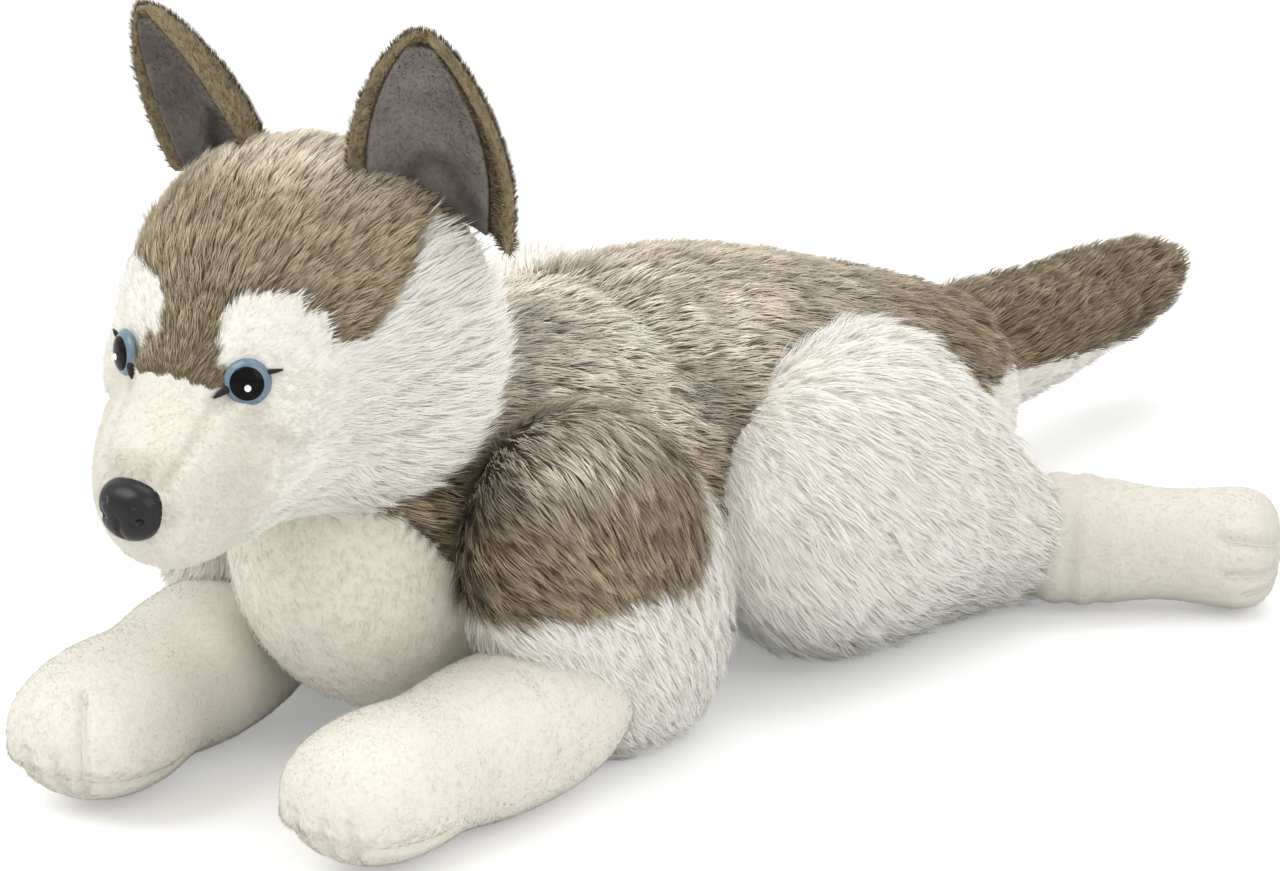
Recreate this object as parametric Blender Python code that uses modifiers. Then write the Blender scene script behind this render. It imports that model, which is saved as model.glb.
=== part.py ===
"""A lying plush husky: cloth panels sewn over fibre filling, with plastic eyes and nose.

Metres, +Z up. The dog faces -Y and its left side is +X. It rests on z = 0, and the origin
is on the floor, under the middle of the back.
"""

from math import cos, pi, radians, sin

import bmesh
import bpy
from mathutils import Vector
from mathutils.bvhtree import BVHTree

# Cloth and clearances
PLUSH = 0.005  # backing and brushed pile together
SEAM_GAP = 0.0003  # room between two neighbouring pieces
FLOOR = 0.0

# Torso
TORSO_FRONT = -0.186
TORSO_LENGTH = 0.407
TORSO_HALF_WIDTH = 0.073
TORSO_HALF_HEIGHT = 0.080
SADDLE_EDGE = 0.068  # height of the seam between saddle and belly
SADDLE_RISE = 0.085  # how much higher that seam runs at the chest
SADDLE_TURN = 0.055  # where it starts to climb, from the front
SADDLE_DROP = 0.012  # how much lower it runs at the rump
# Station along the body, height of the centre, half width and half height, as shares
TORSO_RINGS = (
    (0.000, 0.98, 0.00, 0.00),
    (0.015, 1.00, 0.36, 0.38),
    (0.055, 1.04, 0.62, 0.71),
    (0.120, 1.08, 0.77, 0.91),
    (0.215, 1.00, 0.88, 0.97),
    (0.335, 0.89, 0.96, 0.95),
    (0.470, 0.86, 1.00, 0.95),
    (0.600, 0.80, 1.00, 0.91),
    (0.735, 0.67, 0.97, 0.80),
    (0.855, 0.57, 0.84, 0.65),
    (0.940, 0.55, 0.62, 0.50),
    (0.985, 0.59, 0.32, 0.30),
    (1.000, 0.60, 0.00, 0.00),
)

# Head
HEAD_BACK = -0.110
HEAD_LENGTH = 0.155
HEAD_HEIGHT = 0.165  # centre of the skull over the floor
HEAD_RADIUS = 0.070
# Station from back to nose, rise of the centre, half width and half height
HEAD_RINGS = (
    (0.000, 0.00, 0.00, 0.00),
    (0.045, 0.00, 0.46, 0.42),
    (0.150, 0.00, 0.86, 0.79),
    (0.300, 0.00, 1.05, 0.94),
    (0.470, 0.00, 0.92, 0.94),
    (0.630, -0.04, 0.72, 0.84),
    (0.740, -0.20, 0.56, 0.70),
    (0.810, -0.43, 0.46, 0.51),
    (0.880, -0.52, 0.40, 0.42),
    (0.945, -0.55, 0.33, 0.34),
    (0.985, -0.55, 0.19, 0.19),
    (1.000, -0.55, 0.00, 0.00),
)
CROWN_EDGE = 0.168  # height of the crown's edge at the brow
MUZZLE_SEAM = -0.222
BROW_RADIUS = 0.021
BROW_OUT = 0.033
BROW_HEIGHT = 0.180
BROW_TURN = radians(28)

# Ears
EAR_LENGTH = 0.087
EAR_HALF_WIDTH = 0.0275
EAR_CLOTH = 0.0030
EAR_LINING = 0.0020
EAR_BASE = Vector((0.045, -0.158, 0.202))
EAR_AXIS = Vector((0.22, -0.35, 0.91)).normalized()
RIGHT_EAR_LENGTH = 0.071
RIGHT_EAR_AXIS = Vector((-0.15, -0.35, 0.91)).normalized()  # the right ear stands straighter
EAR_FACING = Vector((0.30, -0.95, 0.0))
EAR_CUP = radians(62)
EAR_RIM = 1  # columns and rows of the leaf that the lining leaves free as a rim
# Height and half width of the leaf, as shares
EAR_ROWS = (
    (0.00, 0.96),
    (0.14, 1.00),
    (0.30, 0.99),
    (0.46, 0.90),
    (0.62, 0.75),
    (0.77, 0.55),
    (0.89, 0.34),
    (0.97, 0.16),
    (1.00, 0.05),
)
EAR_COLUMNS = 8

# Eyes and nose, moulded plastic held by washers inside
EYE_RADIUS = 0.008
EYE_DOME = 0.0042
EYE_SINK = 0.0012
EYE_OUT = 0.0255
EYE_HEIGHT = 0.1665
EYE_TURN = radians(30)
STEM_RADIUS = 0.0022
STEM_LENGTH = 0.015
WASHER_RADIUS = 0.0075
WASHER_THICK = 0.0016
NOSE_WIDTH = 0.0255
NOSE_HEIGHT = 0.0205
NOSE_DEPTH = 0.017
NOSE_RISE = -0.0010
NOSTRIL_RADIUS = 0.0022

# Forelegs
SHOULDER_OUT = 0.066
SHOULDER_Y = -0.094
SHOULDER_HEIGHT = 0.066
SHOULDER_HALF = Vector((0.037, 0.066, 0.080))
SHOULDER_LEAN = radians(18)
SHOULDER_EDGE = 0.066  # height of the seam between the two panels
FORELEG_START = Vector((0.071, -0.084, 0.030))
FORELEG_TIP = Vector((0.064, -0.250, 0.028))
RIGHT_FORELEG_START = Vector((-0.064, -0.084, 0.030))
RIGHT_FORELEG_TIP = Vector((-0.043, -0.254, 0.028))  # the right paw turns inward more
FORELEG_RADIUS = 0.031
FORELEG_RINGS = (
    (0.00, 0.00, 0.00),
    (0.03, 0.40, 0.40),
    (0.16, 0.85, 0.90),
    (0.34, 1.00, 1.00),
    (0.55, 1.00, 0.98),
    (0.74, 1.06, 0.96),
    (0.88, 1.04, 0.86),
    (0.97, 0.74, 0.58),
    (1.00, 0.00, 0.00),
)

# Hind legs
THIGH_FRONT = -0.030
THIGH_LENGTH = 0.178
THIGH_OUT = 0.071
THIGH_HALF_WIDTH = 0.046
THIGH_HALF_HEIGHT = 0.063
# Station from front to back, how far out the centre is, its height, half width and half height
THIGH_RINGS = (
    (0.000, 0.90, 0.95, 0.00, 0.00),
    (0.040, 0.92, 0.94, 0.38, 0.34),
    (0.120, 0.95, 0.92, 0.68, 0.63),
    (0.240, 0.97, 0.93, 0.90, 0.88),
    (0.400, 0.99, 0.94, 1.00, 1.00),
    (0.560, 1.00, 0.95, 1.00, 1.02),
    (0.670, 1.03, 0.80, 0.97, 0.86),
    (0.780, 1.09, 0.58, 0.88, 0.64),
    (0.880, 1.14, 0.40, 0.72, 0.44),
    (0.960, 1.14, 0.32, 0.42, 0.25),
    (1.000, 1.14, 0.32, 0.00, 0.00),
)
HIND_START = Vector((0.080, 0.116, 0.026))
HIND_TIP = Vector((0.1685, 0.1725, 0.022))
HIND_RADIUS = 0.0245
HIND_RINGS = (
    (0.00, 0.00, 0.00),
    (0.05, 0.60, 0.60),
    (0.20, 1.15, 1.10),
    (0.38, 1.05, 1.05),
    (0.55, 0.86, 0.86),
    (0.72, 0.92, 0.92),
    (0.88, 1.08, 1.02),
    (0.97, 0.76, 0.70),
    (1.00, 0.00, 0.00),
)

# Tail
TAIL_START = 0.185
TAIL_LENGTH = 0.168
TAIL_RADIUS = 0.028
TAIL_HEIGHT = 0.047
TAIL_RINGS = (
    (0.00, 0.00, 0.00, 0.00),
    (0.06, 0.15, 0.88, 0.92),
    (0.20, 0.05, 1.00, 1.08),
    (0.42, -0.06, 0.98, 0.92),
    (0.64, -0.04, 0.90, 0.80),
    (0.84, 0.00, 0.74, 0.68),
    (0.96, 0.02, 0.44, 0.42),
    (1.00, 0.02, 0.00, 0.00),
)
UNDERSIDE_END = 0.66  # share of the tail that the white underside runs along
UNDERSIDE_HIGH = 0.30  # its edge over the tail's middle at the root, in tail radii
UNDERSIDE_LOW = 0.40  # its edge under the tail's middle at its end, in tail radii

# A cage stands this much outside the surface that it shapes
CAGE_SPREAD = 1.035

# The blocks that part one panel from the next reach past the dog on every side
BLOCK_TOP = 0.300
BLOCK_HALF_WIDTH = 0.200
BLOCK_MARGIN = 0.030

PARTS = None
CUTTERS = None


def clear_scene():
    for obj in list(bpy.data.objects):
        bpy.data.objects.remove(obj, do_unlink=True)


def new_collection(name):
    made = bpy.data.collections.new(name)
    bpy.context.scene.collection.children.link(made)
    return made


def material(name, colour, roughness, metallic=0.0):
    made = bpy.data.materials.new(name)
    made.use_nodes = True
    shader = made.node_tree.nodes["Principled BSDF"]
    shader.inputs["Base Color"].default_value = (*colour, 1.0)
    shader.inputs["Roughness"].default_value = roughness
    shader.inputs["Metallic"].default_value = metallic
    made.diffuse_color = (*colour, 1.0)
    return made


def mirrored(point, side):
    return Vector((point.x * side, point.y, point.z))


def object_from(bm, name, collection):
    bmesh.ops.recalc_face_normals(bm, faces=bm.faces)
    mesh = bpy.data.meshes.new(name)
    bm.to_mesh(mesh)
    bm.free()
    mesh.shade_smooth()
    made = bpy.data.objects.new(name, mesh)
    collection.objects.link(made)
    return made


def loft_cage(rings, sides, spread):
    """Rings of points across a centre line, closed by a pole at each end."""
    bm = bmesh.new()
    rows = []
    for centre, along, half_width, half_height in rings:
        if half_width == 0.0:
            rows.append([bm.verts.new(centre)])
            continue
        across = along.cross(Vector((0.0, 0.0, 1.0))).normalized()
        up = across.cross(along).normalized()
        turns = [2.0 * pi * k / sides for k in range(sides)]
        rows.append(
            [
                bm.verts.new(
                    centre
                    + across * (half_width * spread * cos(turn))
                    + up * (half_height * spread * sin(turn))
                )
                for turn in turns
            ]
        )
    for low, high in zip(rows, rows[1:]):
        for k in range(sides):
            n = (k + 1) % sides
            corners = [low[k % len(low)], low[n % len(low)], high[n % len(high)], high[k % len(high)]]
            bm.faces.new(list(dict.fromkeys(corners)))
    return bm


def subdivided(bm, levels):
    """The cage's surface after Subdivision Surface, as a new bmesh."""
    cage = object_from(bm, "cage", CUTTERS)
    smooth = cage.modifiers.new("soft", "SUBSURF")
    smooth.levels = levels
    smooth.render_levels = levels
    bpy.context.view_layer.update()
    mesh = bpy.data.meshes.new_from_object(cage.evaluated_get(bpy.context.evaluated_depsgraph_get()))
    bpy.data.objects.remove(cage)
    made = bmesh.new()
    made.from_mesh(mesh)
    bpy.data.meshes.remove(mesh)
    return made


def soft_form(name, rings, inset, fine, sides, floor=FLOOR):
    """A closed soft form, moved inward by the inset and cut flat where it lies on the floor."""
    bm = loft_cage(rings, sides, CAGE_SPREAD)
    smooth = subdivided(bm.copy(), 1)
    if fine:
        bm.free()
        bm = smooth
    else:
        # The cage's own points come first on the smooth surface, so they settle onto it
        smooth.verts.ensure_lookup_table()
        for k, vert in enumerate(bm.verts):
            vert.co = smooth.verts[k].co
        smooth.free()
    bmesh.ops.triangulate(bm, faces=bm.faces, quad_method="FIXED")
    bmesh.ops.recalc_face_normals(bm, faces=bm.faces)
    bm.normal_update()
    moved = [vert.co - vert.normal * inset for vert in bm.verts]
    for vert, place in zip(bm.verts, moved):
        vert.co = place
    flat = floor + inset
    if min(vert.co.z for vert in bm.verts) < flat:
        cut = bmesh.ops.bisect_plane(
            bm,
            geom=bm.verts[:] + bm.edges[:] + bm.faces[:],
            dist=1e-6,
            plane_co=(0.0, 0.0, flat),
            plane_no=(0.0, 0.0, -1.0),
            clear_outer=True,
        )
        rim = [item for item in cut["geom_cut"] if isinstance(item, bmesh.types.BMEdge)]
        bmesh.ops.holes_fill(bm, edges=rim, sides=0)
    made = object_from(bm, name, CUTTERS)
    made.hide_render = True
    made.display_type = "WIRE"
    return made


def prism(name, outline, grow):
    """An outline in the side view, drawn (y, z) and counter-clockwise, run through the dog's width."""
    points = [Vector((y, z)) for y, z in outline]
    moved = []
    for before, here, after in zip(points[-1:] + points[:-1], points, points[1:] + points[:1]):
        first = (here - before).normalized()
        second = (after - here).normalized()
        normal_a = Vector((first.y, -first.x))
        normal_b = Vector((second.y, -second.x))
        bisector = (normal_a + normal_b).normalized()
        moved.append(here + bisector * (grow / bisector.dot(normal_a)))
    bm = bmesh.new()
    face = bm.faces.new([bm.verts.new((-BLOCK_HALF_WIDTH, p.x, p.y)) for p in moved])
    swept = bmesh.ops.extrude_face_region(bm, geom=[face])
    verts = [item for item in swept["geom"] if isinstance(item, bmesh.types.BMVert)]
    bmesh.ops.translate(bm, verts=verts, vec=(2.0 * BLOCK_HALF_WIDTH, 0.0, 0.0))
    made = object_from(bm, name, CUTTERS)
    made.hide_render = True
    made.display_type = "WIRE"
    return made


def turned(name, profile, place, outward, collection, steps=20):
    """A profile (radius, height) turned round the axis that points outward."""
    mesh = bpy.data.meshes.new(name)
    mesh.from_pydata(
        [(radius, 0.0, height) for radius, height in profile],
        [(k, k + 1) for k in range(len(profile) - 1)],
        [],
    )
    made = bpy.data.objects.new(name, mesh)
    collection.objects.link(made)
    screw = made.modifiers.new("turn", "SCREW")
    screw.steps = steps
    screw.render_steps = steps
    screw.use_merge_vertices = True
    screw.merge_threshold = 0.00005
    made.location = place
    made.rotation_mode = "QUATERNION"
    made.rotation_quaternion = outward.to_track_quat("Z", "Y")
    if collection is CUTTERS:
        made.hide_render = True
        made.display_type = "WIRE"
    return made


def boolean(obj, operation, other):
    cut = obj.modifiers.new(other.name, "BOOLEAN")
    cut.operation = operation
    cut.solver = "EXACT"
    cut.object = other


def piece(name, source, finish, keep=(), remove=()):
    """A copy of a form as one of the dog's pieces, kept inside some cutters and cut by others."""
    made = bpy.data.objects.new(name, source.data.copy())
    made.data.name = name
    PARTS.objects.link(made)
    made.data.materials.clear()
    made.data.materials.append(finish)
    for other in keep:
        boolean(made, "INTERSECT", other)
    for other in remove:
        boolean(made, "DIFFERENCE", other)
    return made


def straight_rings(start, tip, radius, rows):
    along = tip - start
    return [
        (start + along * station, along.normalized(), radius * width, radius * height)
        for station, width, height in rows
    ]


def ball_rings(centre, half, lean=0.0, rows=5):
    """Rings of an ellipsoid, from its front to its back. A lean tips its top forward."""
    along = Vector((0.0, cos(lean), sin(lean)))
    rings = []
    for k in range(rows + 2):
        turn = pi * k / (rows + 1)
        share = sin(turn) if 0 < k <= rows else 0.0
        place = centre + Vector((0.0, -half.y * cos(turn), 0.0))
        rings.append((place, along, half.x * share, half.z * share))
    return rings


class Form:
    """A stuffed form's surfaces: outside, the same grown by a seam, the cloth's inside and the filling."""

    def __init__(self, name, rings, sides):
        self.outside = soft_form(name + "_outside", rings, 0.0, True, sides)
        self.grown = soft_form(name + "_grown", rings, -SEAM_GAP, True, sides)
        self.inside = soft_form(name + "_inside", rings, PLUSH, False, sides)
        self.filling = soft_form(name + "_filling_form", rings, PLUSH + SEAM_GAP, False, sides)


def torso_rings():
    along = Vector((0.0, 1.0, 0.0))
    return [
        (
            Vector((0.0, TORSO_FRONT + TORSO_LENGTH * station, TORSO_HALF_HEIGHT * height)),
            along,
            TORSO_HALF_WIDTH * half_width,
            TORSO_HALF_HEIGHT * half_height,
        )
        for station, height, half_width, half_height in TORSO_RINGS
    ]


def head_rings():
    along = Vector((0.0, -1.0, 0.0))
    return [
        (
            Vector((0.0, HEAD_BACK - HEAD_LENGTH * station, HEAD_HEIGHT + HEAD_RADIUS * rise)),
            along,
            HEAD_RADIUS * half_width,
            HEAD_RADIUS * half_height,
        )
        for station, rise, half_width, half_height in HEAD_RINGS
    ]


def thigh_rings(side):
    along = Vector((0.0, 1.0, 0.0))
    return [
        (
            Vector(
                (THIGH_OUT * out * side, THIGH_FRONT + THIGH_LENGTH * station, THIGH_HALF_HEIGHT * height)
            ),
            along,
            THIGH_HALF_WIDTH * half_width,
            THIGH_HALF_HEIGHT * half_height,
        )
        for station, out, height, half_width, half_height in THIGH_RINGS
    ]


def tail_rings():
    along = Vector((0.0, 1.0, 0.0))
    return [
        (
            Vector((0.0, TAIL_START + TAIL_LENGTH * station, TAIL_HEIGHT + TAIL_RADIUS * rise)),
            along,
            TAIL_RADIUS * half_width,
            TAIL_RADIUS * half_height,
        )
        for station, rise, half_width, half_height in TAIL_RINGS
    ]


def surface_point(form, origin, direction):
    """Where a line from inside leaves the form."""
    tree = BVHTree.FromPolygons(
        [vert.co.copy() for vert in form.data.vertices],
        [tuple(face.vertices) for face in form.data.polygons],
    )
    place, _, _, _ = tree.ray_cast(origin, direction)
    return place


def fixing_profile(radius, top, gap):
    """Room for a plastic piece with its stem and washer, as a turned profile, top to bottom."""
    skin = PLUSH - EYE_SINK
    stem = STEM_RADIUS + gap
    washer = WASHER_RADIUS + gap
    washer_top = -skin
    washer_low = washer_top - WASHER_THICK - 2.0 * gap
    return [
        (0.0, top),
        (radius + gap, top),
        (radius + gap, -gap),
        (stem, -gap),
        (stem, washer_top),
        (washer, washer_top),
        (washer, washer_low),
        (stem, washer_low),
        (stem, -STEM_LENGTH - gap),
        (0.0, -STEM_LENGTH - gap),
    ]


def make_washer(name, seat, outward):
    top = -(PLUSH - EYE_SINK) - SEAM_GAP
    low = top - WASHER_THICK
    hole = STEM_RADIUS + SEAM_GAP
    ring = [(hole, top), (WASHER_RADIUS, top), (WASHER_RADIUS, low), (hole, low), (hole, top)]
    washer = turned(name, ring, seat, outward, PARTS, 12)
    washer.data.materials.append(FINISHES["washer"])


def make_eye(side, head):
    """One safety eye with its washer, and the room that both take in the head."""
    outward = Vector((sin(EYE_TURN) * side, -cos(EYE_TURN), 0.06)).normalized()
    inside = Vector((EYE_OUT * side, HEAD_BACK - 0.5 * HEAD_LENGTH, EYE_HEIGHT))
    seat = surface_point(head.outside, inside, Vector((0.0, -1.0, 0.0))) - outward * EYE_SINK
    word = "left" if side > 0 else "right"
    rows = 4
    dome = [
        (EYE_RADIUS * sin(0.5 * pi * k / rows), EYE_DOME * cos(0.5 * pi * k / rows))
        for k in range(rows + 1)
    ]
    dome[-1] = (EYE_RADIUS, 0.0006)
    profile = dome + [
        (EYE_RADIUS, 0.0),
        (STEM_RADIUS, 0.0),
        (STEM_RADIUS, -STEM_LENGTH),
        (0.0, -STEM_LENGTH),
    ]
    eye = turned(f"eye_{word}", profile, seat, outward, PARTS, 16)
    eye.data.materials.append(FINISHES["eye"])
    make_washer(f"eye_washer_{word}", seat, outward)
    return turned(f"eye_room_{word}", fixing_profile(EYE_RADIUS, 0.02, SEAM_GAP), seat, outward, CUTTERS, 16)


def nose_body(name, grow, collection, front, height):
    """The moulded nose: a rounded block, wide at the top and pulled in below."""
    bm = bmesh.new()
    bmesh.ops.create_cube(bm, size=1.0)
    for vert in bm.verts:
        pull = 1.25 if vert.co.z > 0.0 else 0.98
        vert.co.x *= (NOSE_WIDTH + 2.0 * grow) * pull
        vert.co.y *= (NOSE_DEPTH + 2.0 * grow) * 1.25
        vert.co.z *= (NOSE_HEIGHT + 2.0 * grow) * 1.25
        vert.co += Vector((0.0, front + 0.22 * NOSE_DEPTH, height))
    made = object_from(subdivided(bm, 2), name, collection)
    if collection is CUTTERS:
        made.hide_render = True
        made.display_type = "WIRE"
    return made


def make_nose(head):
    """The nose with its stem, nostrils and washer. Returns what they take out of the muzzle."""
    back = Vector((0.0, -1.0, 0.0))
    front = HEAD_BACK - HEAD_LENGTH
    height = HEAD_HEIGHT + HEAD_RADIUS * HEAD_RINGS[-1][1] + NOSE_RISE
    seat = Vector((0.0, front + 0.75 * NOSE_DEPTH, height))
    nose = nose_body("nose", 0.0, PARTS, front, height)
    nose.data.materials.append(FINISHES["nose"])
    stem_profile = [
        (0.0, 0.5 * NOSE_DEPTH),
        (STEM_RADIUS, 0.5 * NOSE_DEPTH),
        (STEM_RADIUS, -STEM_LENGTH),
        (0.0, -STEM_LENGTH),
    ]
    boolean(nose, "UNION", turned("nose_stem", stem_profile, seat, back, CUTTERS, 12))
    for side in (1, -1):
        ball = [
            (NOSTRIL_RADIUS * sin(pi * k / 6), NOSTRIL_RADIUS * 1.5 * cos(pi * k / 6)) for k in range(7)
        ]
        place = Vector((0.27 * NOSE_WIDTH * side, front - 0.235 * NOSE_DEPTH, height - 0.02 * NOSE_HEIGHT))
        outward = Vector((0.7 * side, -0.5, 0.35))
        boolean(nose, "DIFFERENCE", turned(f"nostril_{side + 1}", ball, place, outward, CUTTERS, 12))
    room = nose_body("nose_room", SEAM_GAP * 1.6, CUTTERS, front, height)
    make_washer("nose_washer", seat, back)
    profile = fixing_profile(WASHER_RADIUS, 0.4 * NOSE_DEPTH, SEAM_GAP)
    return room, turned("nose_stem_room", profile, seat, back, CUTTERS, 12)


def ear_sheet(name, side, finish, offset, thickness, rim):
    """A cupped leaf of cloth. The offset moves it off the leaf's own surface, towards the opening."""
    axis = EAR_AXIS if side > 0 else RIGHT_EAR_AXIS
    length = EAR_LENGTH if side > 0 else RIGHT_EAR_LENGTH
    facing = mirrored(EAR_FACING, side)
    facing = (facing - axis * facing.dot(axis)).normalized()
    across = axis.cross(facing)
    base = mirrored(EAR_BASE, side)
    bm = bmesh.new()
    rows = []
    for height, share in EAR_ROWS[: len(EAR_ROWS) - rim]:
        radius = EAR_HALF_WIDTH * share / sin(EAR_CUP)
        inner = radius - offset
        row = []
        for k in range(rim, EAR_COLUMNS + 1 - rim):
            turn = EAR_CUP * (2.0 * k / EAR_COLUMNS - 1.0)
            place = across * (inner * sin(turn)) + facing * (radius * cos(EAR_CUP) - inner * cos(turn))
            row.append(bm.verts.new(base + axis * (length * height) + place))
        rows.append(row)
    for low, high in zip(rows, rows[1:]):
        for k in range(len(low) - 1):
            bm.faces.new((low[k], low[k + 1], high[k + 1], high[k]))
    bmesh.ops.triangulate(bm, faces=bm.faces, quad_method="FIXED")
    bm.normal_update()
    made_faces = bm.faces[:]
    if made_faces[EAR_COLUMNS // 2].normal.dot(facing) < 0.0:
        bmesh.ops.reverse_faces(bm, faces=made_faces)
    mesh = bpy.data.meshes.new(name)
    bm.to_mesh(mesh)
    bm.free()
    mesh.shade_smooth()
    made = bpy.data.objects.new(name, mesh)
    PARTS.objects.link(made)
    made.data.materials.append(finish)
    solid = made.modifiers.new("cloth", "SOLIDIFY")
    solid.thickness = thickness
    solid.offset = -1.0 if offset == 0.0 else 1.0
    return made


def make_head(head):
    crown_outline = [
        (-0.300, CROWN_EDGE),
        (-0.218, CROWN_EDGE - 0.002),
        (-0.180, CROWN_EDGE + 0.040),
        (-0.158, CROWN_EDGE + 0.030),
        (-0.146, CROWN_EDGE - 0.080),
        (-0.050, CROWN_EDGE - 0.080),
        (-0.050, 0.300),
        (-0.300, 0.300),
    ]
    muzzle_outline = [
        (-0.320, 0.050),
        (MUZZLE_SEAM, 0.050),
        (MUZZLE_SEAM, 0.300),
        (-0.320, 0.300),
    ]
    crown = prism("crown_cut", crown_outline, 0.0)
    crown_grown = prism("crown_cut_grown", crown_outline, SEAM_GAP)
    muzzle = prism("muzzle_cut", muzzle_outline, 0.0)
    muzzle_grown = prism("muzzle_cut_grown", muzzle_outline, SEAM_GAP)
    brows = {}
    brows_grown = {}
    eye_rooms = []
    for side in (1, -1):
        outward = Vector((sin(BROW_TURN) * side, -cos(BROW_TURN), 0.25))
        place = Vector((BROW_OUT * side, MUZZLE_SEAM, BROW_HEIGHT))
        for made, grow in ((brows, 0.0), (brows_grown, SEAM_GAP)):
            radius = BROW_RADIUS + grow
            plug = [(0.0, 0.06), (radius, 0.06), (radius, -0.035), (0.0, -0.035)]
            made[side] = turned(f"brow_cut_{side + 1}_{len(made)}_{grow > 0}", plug, place, outward, CUTTERS, 20)
        eye_rooms.append(make_eye(side, head))
    nose_room, stem_room = make_nose(head)
    both = list(brows_grown.values())
    skin = [head.inside]
    piece("head_filling", head.filling, FINISHES["filling"], remove=[*eye_rooms, stem_room, nose_room])
    piece("crown_panel", head.outside, FINISHES["saddle"], keep=[crown], remove=skin + both + eye_rooms)
    piece(
        "muzzle_panel",
        head.outside,
        FINISHES["short_white"],
        keep=[muzzle],
        remove=skin + [crown_grown] + both + eye_rooms + [nose_room, stem_room],
    )
    for side, word in ((1, "left"), (-1, "right")):
        half = prism_side(f"{word}_half", side)
        piece(
            f"brow_patch_{word}",
            head.outside,
            FINISHES["long_white"],
            keep=[brows[side]],
            remove=skin + eye_rooms + [stem_room],
        )
        piece(
            f"cheek_panel_{word}",
            head.outside,
            FINISHES["long_white"],
            keep=[half],
            remove=skin + [crown_grown, muzzle_grown] + both + eye_rooms,
        )


def prism_side(name, side):
    """A block that holds one side of the dog, up to half a seam from the middle."""
    bm = bmesh.new()
    bmesh.ops.create_cube(bm, size=1.0)
    bmesh.ops.translate(bm, verts=bm.verts, vec=((0.5 + 0.5 * SEAM_GAP) * side, 0.0, 0.0))
    made = object_from(bm, name, CUTTERS)
    made.hide_render = True
    made.display_type = "WIRE"
    return made


def make_ears(head):
    for side, word in ((1, "left"), (-1, "right")):
        back = ear_sheet(f"ear_back_{word}", side, FINISHES["ear_back"], 0.0, EAR_CLOTH, 0)
        lining = ear_sheet(
            f"ear_lining_{word}", side, FINISHES["ear_lining"], SEAM_GAP, EAR_LINING, EAR_RIM
        )
        boolean(back, "DIFFERENCE", head.grown)
        boolean(lining, "DIFFERENCE", head.grown)


def make_torso(torso, head):
    front = TORSO_FRONT - BLOCK_MARGIN
    rear = TORSO_FRONT + TORSO_LENGTH + BLOCK_MARGIN
    saddle_outline = [
        (front, SADDLE_EDGE + SADDLE_RISE),
        (TORSO_FRONT + SADDLE_TURN, SADDLE_EDGE),
        (0.5 * rear, SADDLE_EDGE),
        (rear, SADDLE_EDGE - SADDLE_DROP),
        (rear, BLOCK_TOP),
        (front, BLOCK_TOP),
    ]
    saddle = prism("saddle_cut", saddle_outline, 0.0)
    saddle_grown = prism("saddle_cut_grown", saddle_outline, SEAM_GAP)
    piece("body_filling", torso.filling, FINISHES["filling"], remove=[head.grown])
    piece("back_panel", torso.outside, FINISHES["saddle"], keep=[saddle], remove=[torso.inside, head.grown])
    piece(
        "belly_panel",
        torso.outside,
        FINISHES["long_white"],
        remove=[torso.inside, saddle_grown, head.grown],
    )


def make_forelegs(torso, head):
    ahead = SHOULDER_Y - BLOCK_HALF_WIDTH
    behind = SHOULDER_Y + BLOCK_HALF_WIDTH
    edge = [(ahead, SHOULDER_EDGE), (behind, SHOULDER_EDGE), (behind, BLOCK_TOP), (ahead, BLOCK_TOP)]
    upper = prism("shoulder_cut", edge, 0.0)
    upper_grown = prism("shoulder_cut_grown", edge, SEAM_GAP)
    made = []
    for side, word in ((1, "left"), (-1, "right")):
        centre = Vector((SHOULDER_OUT * side, SHOULDER_Y, SHOULDER_HEIGHT))
        arm = Form(f"shoulder_{word}", ball_rings(centre, SHOULDER_HALF, SHOULDER_LEAN), 8)
        start = FORELEG_START if side > 0 else RIGHT_FORELEG_START
        tip = FORELEG_TIP if side > 0 else RIGHT_FORELEG_TIP
        rings = straight_rings(start, tip, FORELEG_RADIUS, FORELEG_RINGS)
        leg = Form(f"foreleg_{word}", rings, 8)
        around = [torso.grown, head.grown]
        piece(f"shoulder_filling_{word}", arm.filling, FINISHES["filling"], remove=around)
        piece(
            f"shoulder_panel_{word}",
            arm.outside,
            FINISHES["saddle"],
            keep=[upper],
            remove=[arm.inside, *around],
        )
        piece(
            f"upper_foreleg_{word}",
            arm.outside,
            FINISHES["long_white"],
            remove=[arm.inside, upper_grown, *around],
        )
        piece(f"foreleg_filling_{word}", leg.filling, FINISHES["filling"], remove=[arm.grown, torso.grown])
        piece(
            f"forepaw_{word}",
            leg.outside,
            FINISHES["short_white"],
            remove=[leg.inside, arm.grown, torso.grown],
        )
        made.append(arm)
    return made


def make_hind_legs(torso):
    made = []
    for side, word in ((1, "left"), (-1, "right")):
        thigh = Form(f"thigh_{word}", thigh_rings(side), 8)
        rings = straight_rings(mirrored(HIND_START, side), mirrored(HIND_TIP, side), HIND_RADIUS, HIND_RINGS)
        foot = Form(f"hind_{word}", rings, 8)
        piece(f"thigh_filling_{word}", thigh.filling, FINISHES["filling"], remove=[torso.grown])
        piece(
            f"thigh_panel_{word}",
            thigh.outside,
            FINISHES["long_white"],
            remove=[thigh.inside, torso.grown],
        )
        around = [thigh.grown, torso.grown]
        piece(f"hind_filling_{word}", foot.filling, FINISHES["filling"], remove=around)
        piece(f"hind_paw_{word}", foot.outside, FINISHES["short_white"], remove=[foot.inside, *around])
        made.append(thigh)
    return made


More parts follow.
